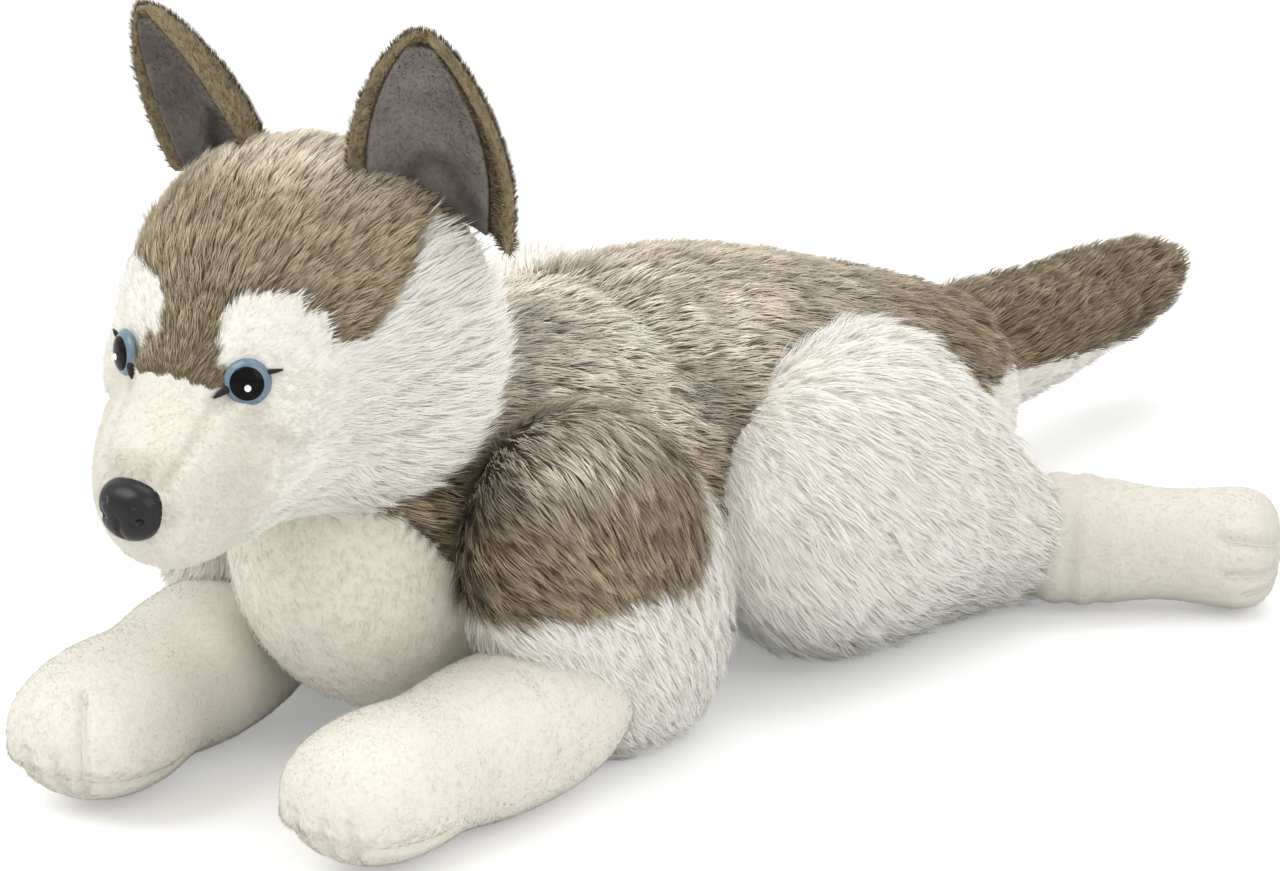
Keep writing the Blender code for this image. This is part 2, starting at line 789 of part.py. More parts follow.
def make_tail(torso, thighs):
    tail = Form("tail", tail_rings(), 8)
    end = TAIL_START + TAIL_LENGTH * UNDERSIDE_END
    low_outline = [
        (TAIL_START - BLOCK_MARGIN, 0.0),
        (end, 0.0),
        (end, TAIL_HEIGHT - UNDERSIDE_LOW * TAIL_RADIUS),
        (TAIL_START - BLOCK_MARGIN, TAIL_HEIGHT + UNDERSIDE_HIGH * TAIL_RADIUS),
    ]
    low = prism("underside_cut", low_outline, 0.0)
    low_grown = prism("underside_cut_grown", low_outline, SEAM_GAP)
    around = [torso.grown] + [thigh.grown for thigh in thighs]
    piece("tail_filling", tail.filling, FINISHES["filling"], remove=around)
    piece("tail_top", tail.outside, FINISHES["saddle"], remove=[tail.inside, low_grown, *around])
    piece("tail_underside", tail.outside, FINISHES["long_white"], keep=[low], remove=[tail.inside, *around])


clear_scene()
PARTS = new_collection("plush_husky")
CUTTERS = new_collection("cutters")
FINISHES = {
    "saddle": material("grey brown long pile", (0.33, 0.27, 0.19), 0.95),
    "long_white": material("white long pile", (0.86, 0.86, 0.83), 0.95),
    "short_white": material("white short pile", (0.85, 0.83, 0.76), 0.90),
    "ear_back": material("olive brown short pile", (0.26, 0.20, 0.12), 0.90),
    "ear_lining": material("grey ear lining", (0.22, 0.18, 0.18), 0.85),
    "eye": material("eye plastic", (0.17, 0.28, 0.40), 0.12),
    "nose": material("nose plastic", (0.015, 0.015, 0.018), 0.30),
    "washer": material("washer plastic", (0.70, 0.70, 0.70), 0.50),
    "filling": material("fibre filling", (0.90, 0.90, 0.90), 1.00),
}

torso_form = Form("torso", torso_rings(), 10)
head_form = Form("head", head_rings(), 12)
make_torso(torso_form, head_form)
make_head(head_form)
make_ears(head_form)
make_forelegs(torso_form, head_form)
thigh_forms = make_hind_legs(torso_form)
make_tail(torso_form, thigh_forms)
CUTTERS.hide_render = True
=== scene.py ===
# A lying plush husky. Cloth panels carry a pile of single strands, grown in mesh code.
# Metres, +Z up. The dog faces -Y and its left side is +X.
import math

import bpy
import numpy as np
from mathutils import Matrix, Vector
from mathutils.bvhtree import BVHTree
from mathutils.kdtree import KDTree


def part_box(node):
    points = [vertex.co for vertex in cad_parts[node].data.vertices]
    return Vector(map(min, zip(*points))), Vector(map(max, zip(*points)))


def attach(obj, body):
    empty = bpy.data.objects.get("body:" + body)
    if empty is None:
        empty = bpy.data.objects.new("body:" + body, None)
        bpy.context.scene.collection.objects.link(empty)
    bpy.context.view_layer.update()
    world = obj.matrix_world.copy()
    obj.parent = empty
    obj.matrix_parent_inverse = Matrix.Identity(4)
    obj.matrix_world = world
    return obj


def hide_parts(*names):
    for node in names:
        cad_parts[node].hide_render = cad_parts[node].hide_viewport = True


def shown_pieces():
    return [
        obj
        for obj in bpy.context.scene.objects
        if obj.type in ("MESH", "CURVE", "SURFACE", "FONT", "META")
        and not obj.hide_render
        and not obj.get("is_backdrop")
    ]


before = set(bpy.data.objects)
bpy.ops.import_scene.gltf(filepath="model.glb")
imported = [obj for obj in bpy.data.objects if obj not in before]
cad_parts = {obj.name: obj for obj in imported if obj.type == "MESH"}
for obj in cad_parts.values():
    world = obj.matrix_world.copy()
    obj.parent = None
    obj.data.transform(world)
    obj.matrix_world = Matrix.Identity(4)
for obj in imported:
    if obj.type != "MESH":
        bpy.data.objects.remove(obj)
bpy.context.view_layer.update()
print("frame loaded,", len(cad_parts), "nodes")


# The left side is +1 and the right side -1
sides = ((1, "left"), (-1, "right"))


# Small helpers

def tone(*seen):
    # a colour as seen on screen, 0 to 255, made linear
    return np.array([c / 255 / 12.92 if c <= 10 else ((c / 255 + 0.055) / 1.055) ** 2.4 for c in seen])


def unit(v):
    return v / np.maximum(np.linalg.norm(v, axis=-1, keepdims=True), 1e-12)


def dot(a, b):
    return (a * b).sum(axis=-1, keepdims=True)


def ramp(value, low, high):
    share = np.clip((value - low) / (high - low), 0.0, 1.0)
    return share * share * (3.0 - 2.0 * share)


def bump(distance, reach):
    return np.exp(-((distance / reach) ** 2))


def toPath(points, path):
    # shortest distance from each point to a line of points
    best = np.full(len(points), 1e9)
    for a, b in zip(np.array(path[:-1], float), np.array(path[1:], float)):
        along = b - a
        share = np.clip(((points - a) @ along) / (along @ along), 0.0, 1.0)
        best = np.minimum(best, np.linalg.norm(points - a - share[:, None] * along, axis=1))
    return best


def inOutline(across, up, outline):
    # even-odd test of flat points against a closed outline
    inside = np.zeros(len(across), bool)
    for (x0, y0), (x1, y1) in zip(outline, outline[1:] + outline[:1]):
        crosses = (y0 > up) != (y1 > up)
        inside ^= crosses & (across < (x1 - x0) * (up - y0) / ((y1 - y0) or 1e-9) + x0)
    return inside


def mirrorX(points, side):
    moved = np.array(points, float).copy()
    moved[..., 0] *= side
    return moved


# Skins: the stuffed forms that the pile grows on

skinMake = dict(
    cageSpread=1.035, coarse=3, fine=4,
    depth=dict(long=0.0034, short=0.0010), rest=dict(long=0.0012, short=0.0008),
)


class Skin:
    def __init__(self, points, triangles):
        self.points = points
        self.triangles = triangles
        self.renew()
        if (self.corners[:, 0] * np.cross(self.corners[:, 1], self.corners[:, 2])).sum() < 0.0:
            self.triangles = triangles[:, ::-1].copy()
            self.renew()

    def renew(self):
        self.corners = self.points[self.triangles]
        a, b, c = self.corners.swapaxes(0, 1)
        turned = np.cross(b - a, c - a)
        self.areas = 0.5 * np.linalg.norm(turned, axis=1)
        self.normals = np.zeros_like(self.points)
        for k in range(3):
            np.add.at(self.normals, self.triangles[:, k], turned)
        self.normals = unit(self.normals)

    def move(self, height):
        self.points = self.points + self.normals * np.asarray(height).reshape(-1, 1)
        self.renew()

    def swell(self, centre, reach, height):
        away = np.linalg.norm(self.points - np.array(centre), axis=1)
        self.move(height * bump(away, reach))

    def crease(self, path, reach, depth):
        self.move(-depth * bump(toPath(self.points, path), reach))

    def settle(self, pile):
        # the cloth lies under its pile, pressed flat where it would sink into the floor
        self.move(-skinMake["depth"][pile])
        self.points[:, 2] = np.maximum(self.points[:, 2], skinMake["rest"][pile])
        self.renew()

    def tree(self):
        return BVHTree.FromPolygons(self.points.tolist(), self.triangles.tolist())

    def nearest(self, place, height):
        # the skin's nearest point, this far over it
        spot = np.argmin(np.linalg.norm(self.points - place, axis=1))
        normal = self.normals[spot]
        return tuple(np.array(place) - normal * ((place - self.points[spot]) @ normal - height))

    def scatter(self, perSquareMillimetre, rng):
        count = int(self.areas.sum() * 1e6 * perSquareMillimetre)
        chosen = rng.choice(len(self.triangles), count, p=self.areas / self.areas.sum())
        a, b = rng.random((2, count))
        flip = a + b > 1.0
        a[flip], b[flip] = 1.0 - a[flip], 1.0 - b[flip]
        weights = np.stack([1.0 - a - b, a, b], axis=1)[:, :, None]
        places = (self.corners[chosen] * weights).sum(axis=1)
        normals = unit((self.normals[self.triangles[chosen]] * weights).sum(axis=1))
        return places, normals


def smoothed(points, faces, levels):
    mesh = bpy.data.meshes.new("form")
    mesh.from_pydata([tuple(p) for p in points], [], faces)
    cage = bpy.data.objects.new("form", mesh)
    bpy.context.scene.collection.objects.link(cage)
    soft = cage.modifiers.new("soft", "SUBSURF")
    soft.levels = levels
    bpy.context.view_layer.update()
    made = cage.evaluated_get(bpy.context.evaluated_depsgraph_get()).to_mesh()
    made.calc_loop_triangles()
    co = np.empty(len(made.vertices) * 3)
    made.vertices.foreach_get("co", co)
    tri = np.empty(len(made.loop_triangles) * 3, np.int32)
    made.loop_triangles.foreach_get("vertices", tri)
    bpy.data.objects.remove(cage)
    bpy.data.meshes.remove(mesh)
    return Skin(co.reshape(-1, 3), tri.reshape(-1, 3))


def bandFaces(rows):
    # the faces between each row of points and the next; an end row is one point, repeated
    faces = []
    for low, high in zip(rows, rows[1:]):
        for k in range(len(low)):
            n = (k + 1) % len(low)
            faces.append(list(dict.fromkeys((low[k], low[n], high[n], high[k]))))
    return faces


def bandTriangles(rows):
    return [(face[0], face[k], face[k + 1]) for face in bandFaces(rows) for k in range(1, len(face) - 1)]


def turns(steps):
    return [2.0 * math.pi * k / steps for k in range(steps)]


def ringSkin(rings, sides, levels):
    # a loft of elliptical rings, closed by a point at each end, then subdivided
    points, rows = [], []
    spread = skinMake["cageSpread"]
    for centre, along, wide, tall in rings:
        first = len(points)
        if wide == 0.0:
            points.append(Vector(centre))
            rows.append([first] * sides)
            continue
        across = Vector(along).cross(Vector((0.0, 0.0, 1.0))).normalized()
        up = across.cross(Vector(along)).normalized()
        for turn in turns(sides):
            wideWay = across * (wide * spread * math.cos(turn))
            points.append(Vector(centre) + wideWay + up * (tall * spread * math.sin(turn)))
        rows.append(list(range(first, first + sides)))
    return smoothed(points, bandFaces(rows), levels)


def loftRings(shape, side=1):
    # rings from start over length: share of it, the centre's share outward if any, rise, half width and height
    return [
        ((shape.get("out", 0.0) * sum(out) * side, shape["start"] + shape["length"] * at,
          shape["height"] + shape["tall"] * rise),
         (0.0, math.copysign(1.0, shape["length"]), 0.0), shape["wide"] * w, shape["tall"] * h)
        for at, *out, rise, w, h in shape["rings"]
    ]


def straightRings(start, tip, radius, rows):
    start, tip = Vector(start), Vector(tip)
    along = tip - start
    return [(start + along * s, along.normalized(), radius * w, radius * h) for s, w, h in rows]


def ballRings(centre, half, lean, rows=5):
    along = Vector((0.0, math.cos(lean), math.sin(lean)))
    rings = []
    for k in range(rows + 2):
        turn = math.pi * k / (rows + 1)
        share = math.sin(turn) if 0 < k <= rows else 0.0
        place = Vector(centre) + Vector((0.0, -half[1] * math.cos(turn), 0.0))
        rings.append((place, along, half[0] * share, half[2] * share))
    return rings


def outside(places, trees, margin=0.001):
    # False where a place lies inside one of the closed forms
    clear = np.ones(len(places), bool)
    for skin, tree in trees:
        low, high = skin.points.min(axis=0), skin.points.max(axis=0)
        near = np.nonzero(((places > low) & (places < high)).all(axis=1) & clear)[0]
        for k in near:
            spot, normal, _, _ = tree.find_nearest(places[k])
            if (Vector(places[k]) - spot).dot(normal) < -margin:
                clear[k] = False
    return clear


# Materials

def nodeGroup(name, inputs, outputs):
    group = bpy.data.node_groups.new(name, "ShaderNodeTree")
    for label, kind, value in inputs:
        socket = group.interface.new_socket(label, in_out="INPUT", socket_type=kind)
        if value is not None:
            socket.default_value = value
    for label, kind in outputs:
        group.interface.new_socket(label, in_out="OUTPUT", socket_type=kind)
    return group, group.nodes.new("NodeGroupInput"), group.nodes.new("NodeGroupOutput")


def addNode(tree, kind, values=(), **settings):
    # a node with its settings, and the values of its inputs by name or number
    node = tree.nodes.new("ShaderNode" + kind)
    for label, value in settings.items():
        setattr(node, label, value)
    for label, value in dict(values).items():
        node.inputs[label].default_value = value
    return node


def makeNapGroup():
    # soft lighter and darker places, as brushed pile has
    group, given, out = nodeGroup(
        "brushedNap",
        [
            ("Colour", "NodeSocketColor", (0.8, 0.8, 0.8, 1.0)),
            ("Scale", "NodeSocketFloat", 60.0),
            ("Amount", "NodeSocketFloat", 0.15),
        ],
        [("Colour", "NodeSocketColor"), ("Height", "NodeSocketFloat")],
    )
    place = addNode(group, "TexCoord")
    noise = addNode(group, "TexNoise", {"Detail": 3.0})
    spread = addNode(group, "MapRange", {"From Min": 0.3, "From Max": 0.7})
    low = addNode(group, "Math", {0: 1.0}, operation="SUBTRACT")
    dark = addNode(group, "Mix", data_type="RGBA", blend_type="MULTIPLY")
    dark.inputs["Factor"].default_value = 1.0
    link = group.links.new
    link(place.outputs["Object"], noise.inputs["Vector"])
    link(given.outputs["Scale"], noise.inputs["Scale"])
    link(noise.outputs["Fac"], spread.inputs["Value"])
    link(given.outputs["Amount"], low.inputs[1])
    link(low.outputs[0], spread.inputs["To Min"])
    link(given.outputs["Colour"], dark.inputs["A"])
    link(spread.outputs["Result"], dark.inputs["B"])
    link(dark.outputs["Result"], out.inputs["Colour"])
    link(noise.outputs["Fac"], out.inputs["Height"])
    return group


napGroup = makeNapGroup()


def newMaterial(name, roughness, specular=0.5, sheen=0.0, coat=0.0):
    made = bpy.data.materials.new(name)
    made.use_nodes = True
    shader = made.node_tree.nodes["Principled BSDF"]
    for label, value in (
        ("Roughness", roughness), ("Specular IOR Level", specular), ("Sheen Weight", sheen),
        ("Sheen Roughness", 0.5), ("Coat Weight", coat), ("Coat Roughness", 0.04),
    ):
        shader.inputs[label].default_value = value
    return made, shader


def addNap(made, shader, scale, amount):
    nap = addNode(made.node_tree, "Group", node_tree=napGroup)
    nap.inputs["Scale"].default_value = scale
    nap.inputs["Amount"].default_value = amount
    made.node_tree.links.new(nap.outputs["Colour"], shader.inputs["Base Color"])
    return nap.inputs["Colour"]


def addGrain(made, shader, fine, strength, depth):
    tree, link = made.node_tree, made.node_tree.links.new
    grain = addNode(tree, "Group", {"Scale": fine}, node_tree=napGroup)
    rough = addNode(tree, "Bump", {"Strength": strength, "Distance": depth})
    link(grain.outputs["Height"], rough.inputs["Height"])
    link(rough.outputs["Normal"], shader.inputs["Normal"])


def pileMaterial(name, scale, amount, depth, roughness=0.95, sheen=0.05):
    # pile and its cloth take their colour from the paint on the mesh
    made, shader = newMaterial(name, roughness, 0.15, sheen)
    paint = addNode(made.node_tree, "Attribute", attribute_name="pileColour")
    made.node_tree.links.new(paint.outputs["Color"], addNap(made, shader, scale, amount))
    addGrain(made, shader, 900.0, 0.5, depth)
    return made


def plainMaterial(name, colour, roughness, scale, amount, depth=0.0, specular=0.5, coat=0.0):
    made, shader = newMaterial(name, roughness, specular, 0.0, coat)
    addNap(made, shader, scale, amount).default_value = (*colour, 1.0)
    if depth:
        addGrain(made, shader, 2500.0, 0.4, depth)
    return made


finishes = {
    "grey_brown_pile": pileMaterial("grey brown pile", 55.0, 0.22, 0.0006),
    "white_long_pile": pileMaterial("white long pile", 45.0, 0.04, 0.0006, sheen=0.15),
    "white_short_pile": pileMaterial("white short pile", 50.0, 0.04, 0.0004, sheen=0.12),
    "olive_brown_pile": pileMaterial("olive brown pile", 70.0, 0.22, 0.0004),
    "grey_lining": pileMaterial("grey lining", 70.0, 0.30, 0.0003, 0.85, 0.10),
    "washer_plastic": plainMaterial("washer plastic", tone(215, 215, 212), 0.5, 300.0, 0.06),
}


# Mesh builders

def meshObject(name, points, triangles, colours=None, cells=None, normals=None):
    mesh = bpy.data.meshes.new(name)
    mesh.vertices.add(len(points))
    mesh.vertices.foreach_set("co", np.asarray(points, np.float32).ravel())
    mesh.loops.add(len(triangles) * 3)
    mesh.loops.foreach_set("vertex_index", np.asarray(triangles, np.int32).ravel())
    mesh.polygons.add(len(triangles))
    mesh.polygons.foreach_set("loop_start", np.arange(0, len(triangles) * 3, 3, dtype=np.int32))
    mesh.update(calc_edges=True)
    mesh.shade_smooth()
    if colours is not None:
        layer = mesh.color_attributes.new("pileColour", "FLOAT_COLOR", "POINT")
        full = np.ones((len(points), 4), np.float32)
        full[:, :3] = np.clip(colours, 0.0, 1.0)
        layer.data.foreach_set("color", full.ravel())
    if cells is not None:
        layer = mesh.uv_layers.new(name="OFBake")
        layer.data.foreach_set("uv", np.asarray(cells, np.float32)[np.asarray(triangles).ravel()].ravel())
    if normals is not None:
        mesh.normals_split_custom_set_from_vertices(normals.tolist())
    made = bpy.data.objects.new(name, mesh)
    bpy.context.scene.collection.objects.link(made)
    return made


def finishPiece(obj, slot, nodes=(), coating=None):
    obj.data.materials.append(coating or finishes[slot])
    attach(obj, "root")
    if nodes:
        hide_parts(*nodes)


def clothPiece(name, skin, chosen, colourAt, slot, nodes, trees=()):
    # one panel's cloth, cut from a form's skin (all of it for None), without what the other forms hide
    chosen = np.ones(len(skin.triangles), bool) if chosen is None else chosen.copy()
    chosen[chosen] = outside(skin.corners[chosen].mean(axis=1), trees, 0.006)
    used, index = np.unique(skin.triangles[chosen], return_inverse=True)
    points = skin.points[used]
    made = meshObject(name, points, index.reshape(-1, 3), colourAt(points))
    finishPiece(made, slot, nodes)


def allOver(places):
    return np.ones(len(places))


# strands of five corners, and of three in the undercoat
strandCells = {
    5: ((0.15, 0.1), (0.85, 0.1), (0.2, 0.5), (0.8, 0.5), (0.5, 0.9)),
    3: ((0.15, 0.1), (0.85, 0.1), (0.5, 0.9)),
}
strandFaces = {5: ((0, 1, 3), (0, 3, 2), (2, 3, 4)), 3: ((0, 1, 2),)}
strandMake = dict(
    tuftLift=0.15, liftNoise=0.15, lift=(0.05, 1.4), tuftLength=(0.5, 1.5), length=(0.75, 1.15),
    underLength=0.62, underLift=1.15, underWidth=1.2, underTone=(0.45, 0.55), pull=(0.4, 1.0), middlePull=0.4,
    roll=0.15, width=(0.75, 1.25), widthShare=(0.3, 1.2), middleWidth=0.85, rootDepth=0.0003, floor=0.0004,
)


def rootsOn(skin, pile, rng, keep, trees):
    grown = []
    for kind, density in ((5, pile["long"]), (3, pile["under"])):
        if density:
            places, normals = skin.scatter(density, rng)
            picked = keep(places)
            places, normals = places[picked], normals[picked]
            picked = outside(places, trees)
            grown.append((kind, places[picked], normals[picked]))
    return grown


def tuftsOf(places, share, rng):
    # the strands that tufts gather round, and the tuft of every strand
    centres = rng.choice(len(places), max(1, int(len(places) * share)), replace=False)
    near = KDTree(len(centres))
    for k, spot in enumerate(places[centres]):
        near.insert(spot, k)
    near.balance()
    return centres, np.fromiter((near.find(spot)[1] for spot in places), np.int64, len(places))


def bent(places, half, lean, normals, angle):
    return places + half * (lean * np.cos(angle)[:, None] + normals * np.sin(angle)[:, None])


def growPile(name, skin, pile, seed, keep, slot, trees=()):
    # Strands on the part of a skin that keep() picks. Long ones bend and gather in tufts.
    rng = np.random.default_rng(seed)
    make = strandMake
    grown = rootsOn(skin, pile, rng, keep, trees)
    total = sum(len(item[1]) for item in grown)
    side = math.ceil(math.sqrt(total))
    points, faces, colours, cells, shading = [], [], [], [], []
    started = 0
    for kind, places, normals in grown:
        count = len(places)
        flow = pile["flow"](places)
        flow = unit(flow - normals * dot(flow, normals))
        share = pile.get("share", allOver)(places)
        # each tuft has its own turn, length, lift and tint
        centres, owner = tuftsOf(places, pile["tuft"], rng)
        tufts = len(centres)
        tuftTurn = rng.normal(0.0, pile["tuftTurn"], tufts)[owner]
        tuftLength = rng.normal(1.0, pile["tuftLength"], tufts)[owner]
        tuftLift = rng.normal(0.0, make["tuftLift"], tufts)[owner]
        tuftTint = rng.normal(0.0, pile["tuftTint"], tufts)[owner]
        turn = tuftTurn + rng.normal(0.0, pile["turn"], count)
        lean = unit(flow * np.cos(turn)[:, None] + np.cross(normals, flow) * np.sin(turn)[:, None])
        lift = np.clip(pile["lift"] * (1.0 + tuftLift + rng.normal(0.0, make["liftNoise"], count)), *make["lift"])
        length = pile["length"] * share * np.clip(tuftLength, *make["tuftLength"])
        length = length * rng.uniform(*make["length"], count)
        if kind == 3:
            length = length * make["underLength"]
            lift = lift * make["underLift"]
        half = 0.5 * length[:, None]
        middle = bent(places, half, lean, normals, lift)
        tip = bent(middle, half, lean, normals, lift * pile["fall"])
        # tips gather towards the tuft's own tip
        pull = pile["pull"] * rng.uniform(*make["pull"], count)[:, None]
        tip = tip + pull * (tip[centres][owner] - tip)
        middle = middle + make["middlePull"] * pull * (middle[centres][owner] - middle)
        roll = rng.normal(0.0, make["roll"], count)[:, None]
        width = unit(np.cross(tip - places, normals))
        width = unit(width * np.cos(roll) + normals * np.sin(roll))
        thick = pile["width"] * rng.uniform(*make["width"], count)[:, None] * 0.5
        edge = width * (thick * np.sqrt(np.clip(share, *make["widthShare"]))[:, None])
        root = places - normals * make["rootDepth"]
        tint = (1.0 + tuftTint + rng.normal(0.0, pile["tint"], count))[:, None]
        shade = pile["shade"](places) if "shade" in pile else np.ones((count, 1))
        light = pile["light"](places) if "light" in pile else np.zeros((count, 1))
        rootTone = pile["root"] * tint * shade
        midTone = (pile["middle"] + (pile["pale"] - pile["middle"]) * light) * tint * shade
        tipTone = (pile["tip"] + (pile["pale"] - pile["tip"]) * light) * tint * (0.5 + 0.5 * shade)
        if kind == 5:
            narrow = edge * make["middleWidth"]
            strand = [root - edge, root + edge, middle - narrow, middle + narrow, tip]
            paint = [rootTone, rootTone, midTone, midTone, tipTone]
        else:
            broad = edge * make["underWidth"]
            strand = [root - broad, root + broad, tip]
            paint = [rootTone, rootTone, make["underTone"][0] * midTone + make["underTone"][1] * tipTone]
        strand = np.stack(strand, axis=1)
        strand[:, :, 2] = np.maximum(strand[:, :, 2], make["floor"])
        across = np.cross(strand[:, 1] - strand[:, 0], strand[:, -1] - strand[:, 0])
        own = unit(across * np.sign(dot(across, normals) + 1e-9))
        soft = unit(own * (1.0 - pile["smooth"]) + normals * pile["smooth"])
        shading.append(np.repeat(soft, kind, axis=0))
        number = np.arange(count) + started
        corner = np.stack([number % side, number // side], axis=1)[:, None, :]
        cell = (corner + np.array(strandCells[kind])[None]) / side
        base = (np.arange(count) * kind)[:, None, None] + sum(len(p) for p in points)
        made = base + np.array(strandFaces[kind])[None]
        # every strand shows its front to the outside
        inward = (dot(across, normals) < 0.0)[:, 0]
        made[inward] = made[inward][:, :, ::-1]
        faces.append(made.reshape(-1, 3))
        points.append(strand.reshape(-1, 3))
        colours.append(np.stack(paint, axis=1).reshape(-1, 3))
        cells.append(cell.reshape(-1, 2))
        started += count
    made = meshObject(name, *(np.concatenate(part) for part in (points, faces, colours, cells, shading)))
    finishPiece(made, slot)
    print(f"  {name}: {total} strands, {len(made.data.polygons)} triangles")


# Head

headShape = dict(
    start=-0.110, length=-0.155, height=0.165, wide=0.070, tall=0.070,
    rings=(
        (0.000, 0.00, 0.00, 0.00), (0.045, 0.00, 0.46, 0.42), (0.150, 0.00, 0.86, 0.79),
        (0.300, 0.00, 1.05, 0.94), (0.470, 0.00, 0.92, 0.94), (0.630, -0.04, 0.72, 0.84),
        (0.740, -0.20, 0.56, 0.70), (0.810, -0.43, 0.46, 0.51), (0.880, -0.52, 0.40, 0.42),
        (0.945, -0.55, 0.33, 0.34), (0.985, -0.55, 0.19, 0.19), (1.000, -0.55, 0.00, 0.00),
    ),
    centre=(0.0, -0.175, 0.165),
    muzzleSeam=-0.219,
)
# The crown's edge, as degrees round from the nose and degrees up, seen from the head's centre
crownOutline = [
    (-1.0, 0.5), (8.0, -0.5), (16.0, -2.0), (21.5, 0.5), (16.0, 5.0), (12.0, 11.0), (11.0, 16.0), (13.5, 23.0),
    (19.0, 27.0), (26.0, 28.8), (33.0, 28.8), (40.5, 27.0), (46.0, 23.5), (50.0, 18.7), (54.6, 12.0), (58.5, 9.5),
    (62.5, 11.0), (68.0, 16.0), (75.0, 23.0), (86.0, 32.0), (102.0, 42.0), (112.0, 30.0), (118.0, 12.0),
    (126.0, -5.0), (137.0, -31.0), (143.0, -60.0), (143.0, -91.0), (181.0, -91.0), (181.0, 91.0), (-1.0, 91.0),
]



def headAngles(places):
    away = places - np.array(headShape["centre"])
    round_ = np.degrees(np.arctan2(np.abs(away[:, 0]), -away[:, 1]))
    up = np.degrees(np.arcsin(np.clip(away[:, 2] / np.linalg.norm(away, axis=1), -1.0, 1.0)))
    return round_, up


def inCrown(places):
    wander = 0.9 * np.sin(places[:, 0] * 900.0) + 0.9 * np.sin(places[:, 2] * 1100.0 + 1.0)
    round_, up = headAngles(places)
    return inOutline(round_ + wander, up + wander, crownOutline)


def inMuzzle(places):
    seam = headShape["muzzleSeam"] + 0.35 * (places[:, 2] - 0.150)
    return (places[:, 1] < np.minimum(seam, -0.212)) & (places[:, 2] < 0.170) & ~inCrown(places)


def crownEdge(places):
    round_, up = headAngles(places)
    flat = np.stack([round_, up, np.zeros(len(round_))], axis=1)
    return toPath(flat, [(a, b, 0.0) for a, b in crownOutline[:26]])


# Face

# The eyes: a blue dome, a black pupil, and a white dot that is a painted highlight
eyes = dict(
    turn=math.radians(30), radius=0.0080, dome=0.0042, flatter=1.04, back=0.0006, steps=48, threadProud=0.0014,
    pupil=0.0058, pupilLift=0.00025, dot=0.0011, dotLift=0.0005, dotOut=0.0006, dotDrop=0.0012,
    blue=tone(112, 134, 152), black=tone(9, 8, 9), white=tone(248, 248, 248),
)


def eyeSeat(side):
    word = "left" if side > 0 else "right"
    outward = Vector((math.sin(eyes["turn"]) * side, -math.cos(eyes["turn"]), 0.06)).normalized()
    top = max((v.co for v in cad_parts[f"eye_{word}"].data.vertices), key=outward.dot)
    return np.array(top - outward * eyes["dome"]), outward


faceLines = dict(
    noseSeam=((0.0182, -0.2398, 0.1592), (0.0166, -0.2465, 0.1521), (0.0158, -0.2536, 0.1452),
              (0.0141, -0.2585, 0.1393), (0.0125, -0.2612, 0.1351)),
    underEye=((0.0299, -0.2330, 0.1572), (0.0317, -0.2327, 0.1530), (0.0336, -0.2315, 0.1503),
              (0.0370, -0.2274, 0.1467), (0.0397, -0.2217, 0.1436)),
    innerCorner=((0.0225, -0.2362, 0.1635), (0.0182, -0.2390, 0.1610)),
)
# Full places of the face, each with its centre, reach and height: brow, cheek, lip and lower lid
faceSwells = (
    ((0.031, -0.222, 0.189), 0.016, 0.0035), ((0.052, -0.170, 0.130), 0.030, 0.0030),
    ((0.024, -0.240, 0.140), 0.014, 0.0022), ((0.041, -0.218, 0.156), 0.012, 0.0026),
)
faceCreases = (("noseSeam", 0.0020, 0.0017), ("underEye", 0.0028, 0.0026), ("innerCorner", 0.0030, 0.0016))
bridgeSwell = ((0.013, -0.2385, 0.166), 0.007, 0.0026)
mouthLine = ((0.0, -0.262, 0.118), (0.0, -0.255, 0.106), (0.0, -0.235, 0.099))


def makeHeadSkin():
    skin = ringSkin(loftRings(headShape), 12, skinMake["fine"])
    for side in (1, -1):
        for centre, reach, height in faceSwells:
            skin.swell(mirrorX(centre, side), reach, height)
        for label, reach, depth in faceCreases:
            skin.crease(mirrorX(faceLines[label], side), reach, depth)
        skin.swell(eyeSeat(side)[0], 0.009, -0.0010)
        skin.swell(mirrorX(bridgeSwell[0], side), *bridgeSwell[1:])
    skin.crease(mouthLine, 0.0030, 0.0012)
    short = ramp(-skin.points[:, 1], 0.205, 0.225)
    depth = skinMake["depth"]
    skin.move(-(depth["long"] + (depth["short"] - depth["long"]) * short))
    return skin


# Body

torsoShape = dict(
    start=-0.186, length=0.407, height=0.0, wide=0.073, tall=0.080,
    rings=(
        (0.000, 0.98, 0.00, 0.00), (0.015, 1.00, 0.36, 0.38), (0.055, 1.04, 0.62, 0.71), (0.120, 1.08, 0.77, 0.91),
        (0.215, 1.00, 0.88, 0.97), (0.335, 0.89, 0.96, 0.95), (0.470, 0.86, 1.00, 0.95), (0.600, 0.80, 1.00, 0.91),
        (0.735, 0.67, 0.97, 0.80), (0.855, 0.57, 0.84, 0.65), (0.940, 0.55, 0.62, 0.50), (0.985, 0.59, 0.32, 0.30),
        (1.000, 0.60, 0.00, 0.00),
    ),
)
tailShape = dict(
    start=0.185, length=0.168, height=0.047, wide=0.028, tall=0.028, underEnd=0.66, underHigh=0.30, underLow=0.40,
    rings=(
        (0.00, 0.00, 0.00, 0.00), (0.06, 0.15, 0.88, 0.92), (0.20, 0.05, 1.00, 1.08), (0.42, -0.06, 0.98, 0.92),
        (0.64, -0.04, 0.90, 0.80), (0.84, 0.00, 0.74, 0.68), (0.96, 0.02, 0.44, 0.42), (1.00, 0.02, 0.00, 0.00),
    ),
)
shoulderShape = dict(
    centre=(0.066, -0.094, 0.066), half=(0.037, 0.066, 0.080), lean=math.radians(18), edge=0.066,
    pileEdge=0.006, pileRise=0.030,
)
